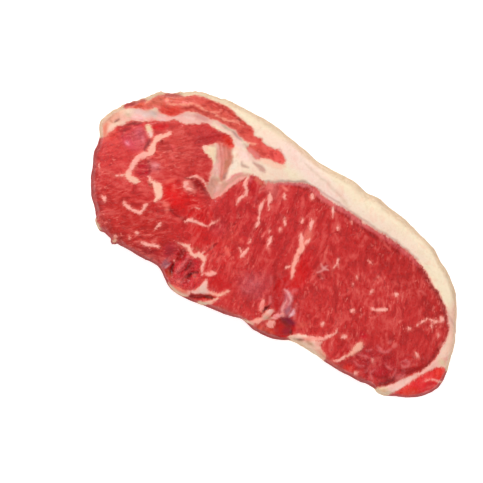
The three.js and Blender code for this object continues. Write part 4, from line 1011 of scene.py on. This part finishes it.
class Graph:
    """Adds and links the nodes of one material."""

    def __init__(self, name):
        self.material = bpy.data.materials.new(name)
        self.material.use_nodes = True
        self.tree = self.material.node_tree
        self.tree.nodes.clear()

    def node(self, kind, inputs=(), **settings):
        node = self.tree.nodes.new(kind)
        for key, value in settings.items():
            setattr(node, key, value)
        for key, value in dict(inputs).items():
            if isinstance(value, bpy.types.NodeSocket):
                self.tree.links.new(value, node.inputs[key])
            else:
                node.inputs[key].default_value = value
        return node

    def attribute(self, name, output="Fac"):
        return self.node("ShaderNodeAttribute", attribute_name=name).outputs[output]

    def math(self, operation, a, b=0.0):
        return self.node("ShaderNodeMath", {0: a, 1: b}, operation=operation).outputs[0]

    def total(self, *parts):
        """The sum of some values, each times its weight."""
        result = 0.0
        for value, weight in parts:
            inputs = {0: value, 1: weight, 2: result}
            result = self.node("ShaderNodeMath", inputs, operation="MULTIPLY_ADD").outputs[0]
        return result

    def scaled(self, vector, scale):
        scale = scale if isinstance(scale, tuple) else (scale, scale, scale)
        node = self.node("ShaderNodeVectorMath", {0: vector, 1: scale}, operation="MULTIPLY")
        return node.outputs[0]

    def noise(self, vector, scale, detail=2.0, roughness=0.5, distortion=0.0):
        node = self.node("ShaderNodeTexNoise", {
            "Vector": self.scaled(vector, scale), "Scale": 1.0, "Detail": detail,
            "Roughness": roughness, "Distortion": distortion})
        return node.outputs["Fac"]

    def span(self, value, low, high, to_low=0.0, to_high=1.0):
        node = self.node("ShaderNodeMapRange", {
            "Value": value, "From Min": low, "From Max": high,
            "To Min": to_low, "To Max": to_high}, interpolation_type="SMOOTHSTEP")
        return node.outputs["Result"]

    def mix(self, share, a, b, blend="MIX"):
        node = self.node("ShaderNodeMix", {0: share, 6: a, 7: b}, data_type="RGBA", blend_type=blend)
        return node.outputs[2]

    def multiplied(self, tint, colour):
        return self.mix(1.0, tint, rgba(colour), "MULTIPLY")


def rgba(colour):
    return (*linear(colour), 1.0)


def flesh_material():
    g = Graph("raw_meat")
    place = g.node("ShaderNodeTexCoord").outputs["Object"]
    mm = g.scaled(place, 1 / MM)
    grain = g.attribute("grain", "Vector")
    lean_tint = g.attribute("lean_tint", "Color")
    fat_tint = g.attribute("fat_tint", "Color")
    wall = g.attribute("wall")
    rim = g.attribute("rim")
    crumple = g.attribute("crumple")
    varied = g.math("SUBTRACT", 1.0, g.attribute("calm"))

    # Where fat takes over from lean, with an edge that frays along the grain
    fray = g.noise(grain, (0.8, 1.7, 0.8), 3.0, 0.65)
    edge = g.math("ADD", g.attribute("fat"), g.span(fray, 0.25, 0.75, -0.4, 0.4))
    fat_share = g.span(edge, -0.42, 0.42)

    # Lean: bundles and threads along the grain, mottled, with dark specks and pale flecks
    patches = g.noise(grain, (0.10, 0.19, 0.12), 2.0, 0.5, 1.2)
    bundles = g.noise(grain, (0.24, 0.62, 0.2), 2.0, 0.5, 0.5)
    threads = g.noise(grain, (0.7, 2.0, 0.4), 3.0, 0.6, 0.3)
    curds = g.noise(mm, 0.42, 3.0, 0.6, 0.8)
    lively = g.noise(mm, 0.085, 1.0)
    tone = g.total((patches, 0.62), (bundles, 0.28), (curds, 0.3), (threads, 0.1))
    dark = g.math("MULTIPLY", varied, g.span(tone, 0.54, 0.66, 0.65, 0.0))
    lean = g.mix(dark, lean_tint, g.multiplied(lean_tint, (214, 150, 158)))
    pale = g.math("MULTIPLY", varied, g.span(tone, 0.64, 0.8, 0.0, 0.65))
    lean = g.mix(pale, lean, g.mix(0.5, lean_tint, rgba((240, 112, 102))))
    streaks = g.noise(grain, (0.3, 0.95, 0.4), 2.0, 0.5, 0.4)
    streak_share = g.math("MULTIPLY", g.span(lively, 0.42, 0.6, 0.15, 1.0), varied)
    streak_share = g.math("MULTIPLY", streak_share, g.span(crumple, 0.0, 0.5, 1.0, 0.3))
    pale_share = g.math("MULTIPLY", streak_share, g.span(streaks, 0.55, 0.72, 0.0, 0.56))
    lean = g.mix(pale_share, lean, g.mix(0.6, lean_tint, rgba((250, 136, 122))))
    dark_share = g.math("MULTIPLY", streak_share, g.span(streaks, 0.3, 0.43, 0.42, 0.0))
    lean = g.mix(dark_share, lean, g.multiplied(lean_tint, (178, 90, 104)))
    specks = g.noise(mm, 0.7, 1.0, 0.5)
    lean = g.mix(g.span(specks, 0.24, 0.32, 0.4, 0.0), lean, rgba((138, 18, 22)))
    flecks = g.noise(grain, (0.42, 0.85, 0.5), 1.0, 0.5)
    fleck_share = g.math("MULTIPLY", streak_share, g.span(flecks, 0.64, 0.74, 0.0, 0.5))
    lean = g.mix(fleck_share, lean, rgba((242, 124, 112)))
    # In crumpled places the creases are painted dark, painted shade, and the ridges paler, painted
    # highlight
    folds = g.noise(mm, 0.5, 2.0, 0.55, 1.4)
    fold_line = g.math("ABSOLUTE", g.math("SUBTRACT", folds, 0.5))
    crease_shade = g.math("MULTIPLY", crumple, g.span(fold_line, 0.0, 0.05, 0.6, 0.0))
    lean = g.mix(crease_shade, lean, rgba((112, 12, 20)))
    ridge_highlight = g.math("MULTIPLY", crumple, g.span(folds, 0.57, 0.7, 0.0, 0.5))
    lean = g.mix(ridge_highlight, lean, g.mix(0.6, lean_tint, rgba((232, 130, 132))))
    halo = g.math("MULTIPLY", g.span(edge, -1.5, -0.1, 0.0, 0.5), g.span(curds, 0.35, 0.6))
    lean = g.mix(halo, lean, g.mix(0.5, lean_tint, rgba((246, 124, 110))))
    # The lean's steep walls darkened further: painted shade
    lean = g.mix(g.math("MULTIPLY", wall, 0.7), lean, rgba((132, 34, 28)))

    # Fat: cream, pinker towards the lean, with faint pink and greyish mottling, and a darker rim where the
    # surface turns away from straight up, painted shade
    mottle = g.noise(mm, 0.24, 4.0, 0.6, 0.6)
    grit = g.noise(mm, 1.0, 2.0, 0.5, 0.2)
    pinkish = g.span(mottle, 0.5, 0.68, 0.0, 0.8)
    fat = g.mix(pinkish, fat_tint, g.multiplied(fat_tint, (254, 240, 238)))
    greyish = g.span(mottle, 0.33, 0.48, 0.6, 0.0)
    fat = g.mix(greyish, fat, g.multiplied(fat_tint, (246, 244, 236)))
    gritty = g.span(grit, 0.55, 0.75, 0.0, 0.45)
    fat = g.mix(gritty, fat, g.multiplied(fat_tint, (244, 228, 220)))
    near_lean = g.span(edge, 0.0, 0.8, 0.55, 0.0)
    fat = g.mix(near_lean, fat, g.mix(0.6, lean_tint, rgba((255, 140, 122))))
    # The fat darkened where its surface turns away: painted shade
    rim_shade = g.math("MULTIPLY", rim, g.span(curds, 0.3, 0.7, 0.55, 1.0))
    fat = g.mix(rim_shade, fat, g.multiplied(fat_tint, (224, 206, 190)))
    # Brown spots on the turned-away rim: partly the fat's own spots, partly painted shade
    rim_stain_and_shade = g.math("MULTIPLY", rim, g.span(grit, 0.62, 0.72, 0.0, 0.5))
    fat = g.mix(rim_stain_and_shade, fat, rgba((176, 138, 112)))
    colour = g.mix(fat_share, lean, fat)

    fine = g.noise(mm, 2.4, 4.0, 0.65)
    relief = g.total((threads, 0.6), (bundles, 0.5), (curds, 0.8), (fine, 0.4), (fat_share, 0.3))
    bump = g.node("ShaderNodeBump", {"Strength": 0.6, "Distance": 0.0007, "Height": relief})

    gloss = g.noise(mm, 0.6, 3.0, 0.6, 0.3)
    roughness = g.span(gloss, 0.3, 0.7, 0.24, 0.50)
    roughness = g.total((roughness, 1.0), (crumple, -0.06), (wall, 0.45))
    coat = g.span(wall, 0.0, 0.6, 0.14, 0.0)

    shader = g.node("ShaderNodeBsdfPrincipled", {
        "Base Color": colour, "Roughness": roughness, "Normal": bump.outputs[0],
        "IOR": 1.34, "Subsurface Weight": 0.12, "Subsurface Radius": (1.0, 0.35, 0.25),
        "Subsurface Scale": 0.0012, "Coat Weight": coat, "Coat Roughness": 0.14})
    output = g.node("ShaderNodeOutputMaterial")
    g.tree.links.new(shader.outputs[0], output.inputs["Surface"])
    return g.material


def floor_material():
    g = Graph("pale_floor")
    place = g.node("ShaderNodeTexCoord").outputs["Object"]
    cloud = g.noise(place, 3.0)
    colour = g.mix(cloud, (0.93, 0.93, 0.93, 1.0), (0.95, 0.95, 0.95, 1.0))
    shader = g.node("ShaderNodeBsdfPrincipled", {
        "Base Color": colour, "Roughness": 0.9, "Specular IOR Level": 0.1,
        "Emission Color": (1, 1, 1, 1), "Emission Strength": 0.5})
    output = g.node("ShaderNodeOutputMaterial")
    g.tree.links.new(shader.outputs[0], output.inputs["Surface"])
    return g.material


# Stage, lights and camera

FLOOR_HALF = 3.0
CAMERA_TURN = math.radians(34)
VIEW_CENTRE = (-14.0 * MM, -8.1 * MM)
VIEW_WIDTH = 222.2 * MM
CAMERA_HEIGHT = 1.5
SENSOR = 36.0
FOCUS_HEIGHT = 0.014
LAMPS = [
    # place, size and power of each soft lamp
    ((-1.0, 0.9, 1.1), 0.5, 14),
    ((1.1, 0.8, 1.1), 0.9, 7.5),
    ((0.6, -1.2, 1.1), 0.9, 6.5),
    ((-1.1, -0.7, 1.1), 0.9, 7.5),
]
WORLD_STRENGTH = 0.37


def add_floor():
    mesh = bpy.data.meshes.new("floor")
    h = FLOOR_HALF
    mesh.from_pydata([(-h, -h, 0), (h, -h, 0), (h, h, 0), (-h, h, 0)], [], [(0, 1, 2, 3)])
    mesh.materials.append(floor_material())
    floor = bpy.data.objects.new("floor", mesh)
    bpy.context.scene.collection.objects.link(floor)


def add_lamps():
    for i, (place, size, power) in enumerate(LAMPS):
        light = bpy.data.lights.new(f"lamp_{i}", "AREA")
        light.shape = "DISK"
        light.size = size
        light.energy = power
        lamp = bpy.data.objects.new(f"lamp_{i}", light)
        lamp.location = place
        direction = -lamp.location
        lamp.rotation_euler = direction.to_track_quat("-Z", "Y").to_euler()
        bpy.context.scene.collection.objects.link(lamp)
    world = bpy.data.worlds.new("studio")
    world.use_nodes = True
    background = world.node_tree.nodes["Background"]
    background.inputs["Color"].default_value = (1, 1, 1, 1)
    background.inputs["Strength"].default_value = WORLD_STRENGTH
    bpy.context.scene.world = world


def add_camera():
    data = bpy.data.cameras.new("camera")
    data.sensor_width = SENSOR
    data.lens = SENSOR * (CAMERA_HEIGHT - FOCUS_HEIGHT) / VIEW_WIDTH
    camera = bpy.data.objects.new("camera", data)
    camera.location = (*VIEW_CENTRE, CAMERA_HEIGHT)
    camera.rotation_euler = (0, 0, CAMERA_TURN)
    bpy.context.scene.collection.objects.link(camera)
    bpy.context.scene.camera = camera


bpy.context.scene.view_settings.view_transform = "Standard"

steak = build_steak(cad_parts["steak"])
steak.data.materials.clear()
steak.data.materials.append(flesh_material())
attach(steak, "root")
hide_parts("steak")

add_floor()
add_lamps()
add_camera()
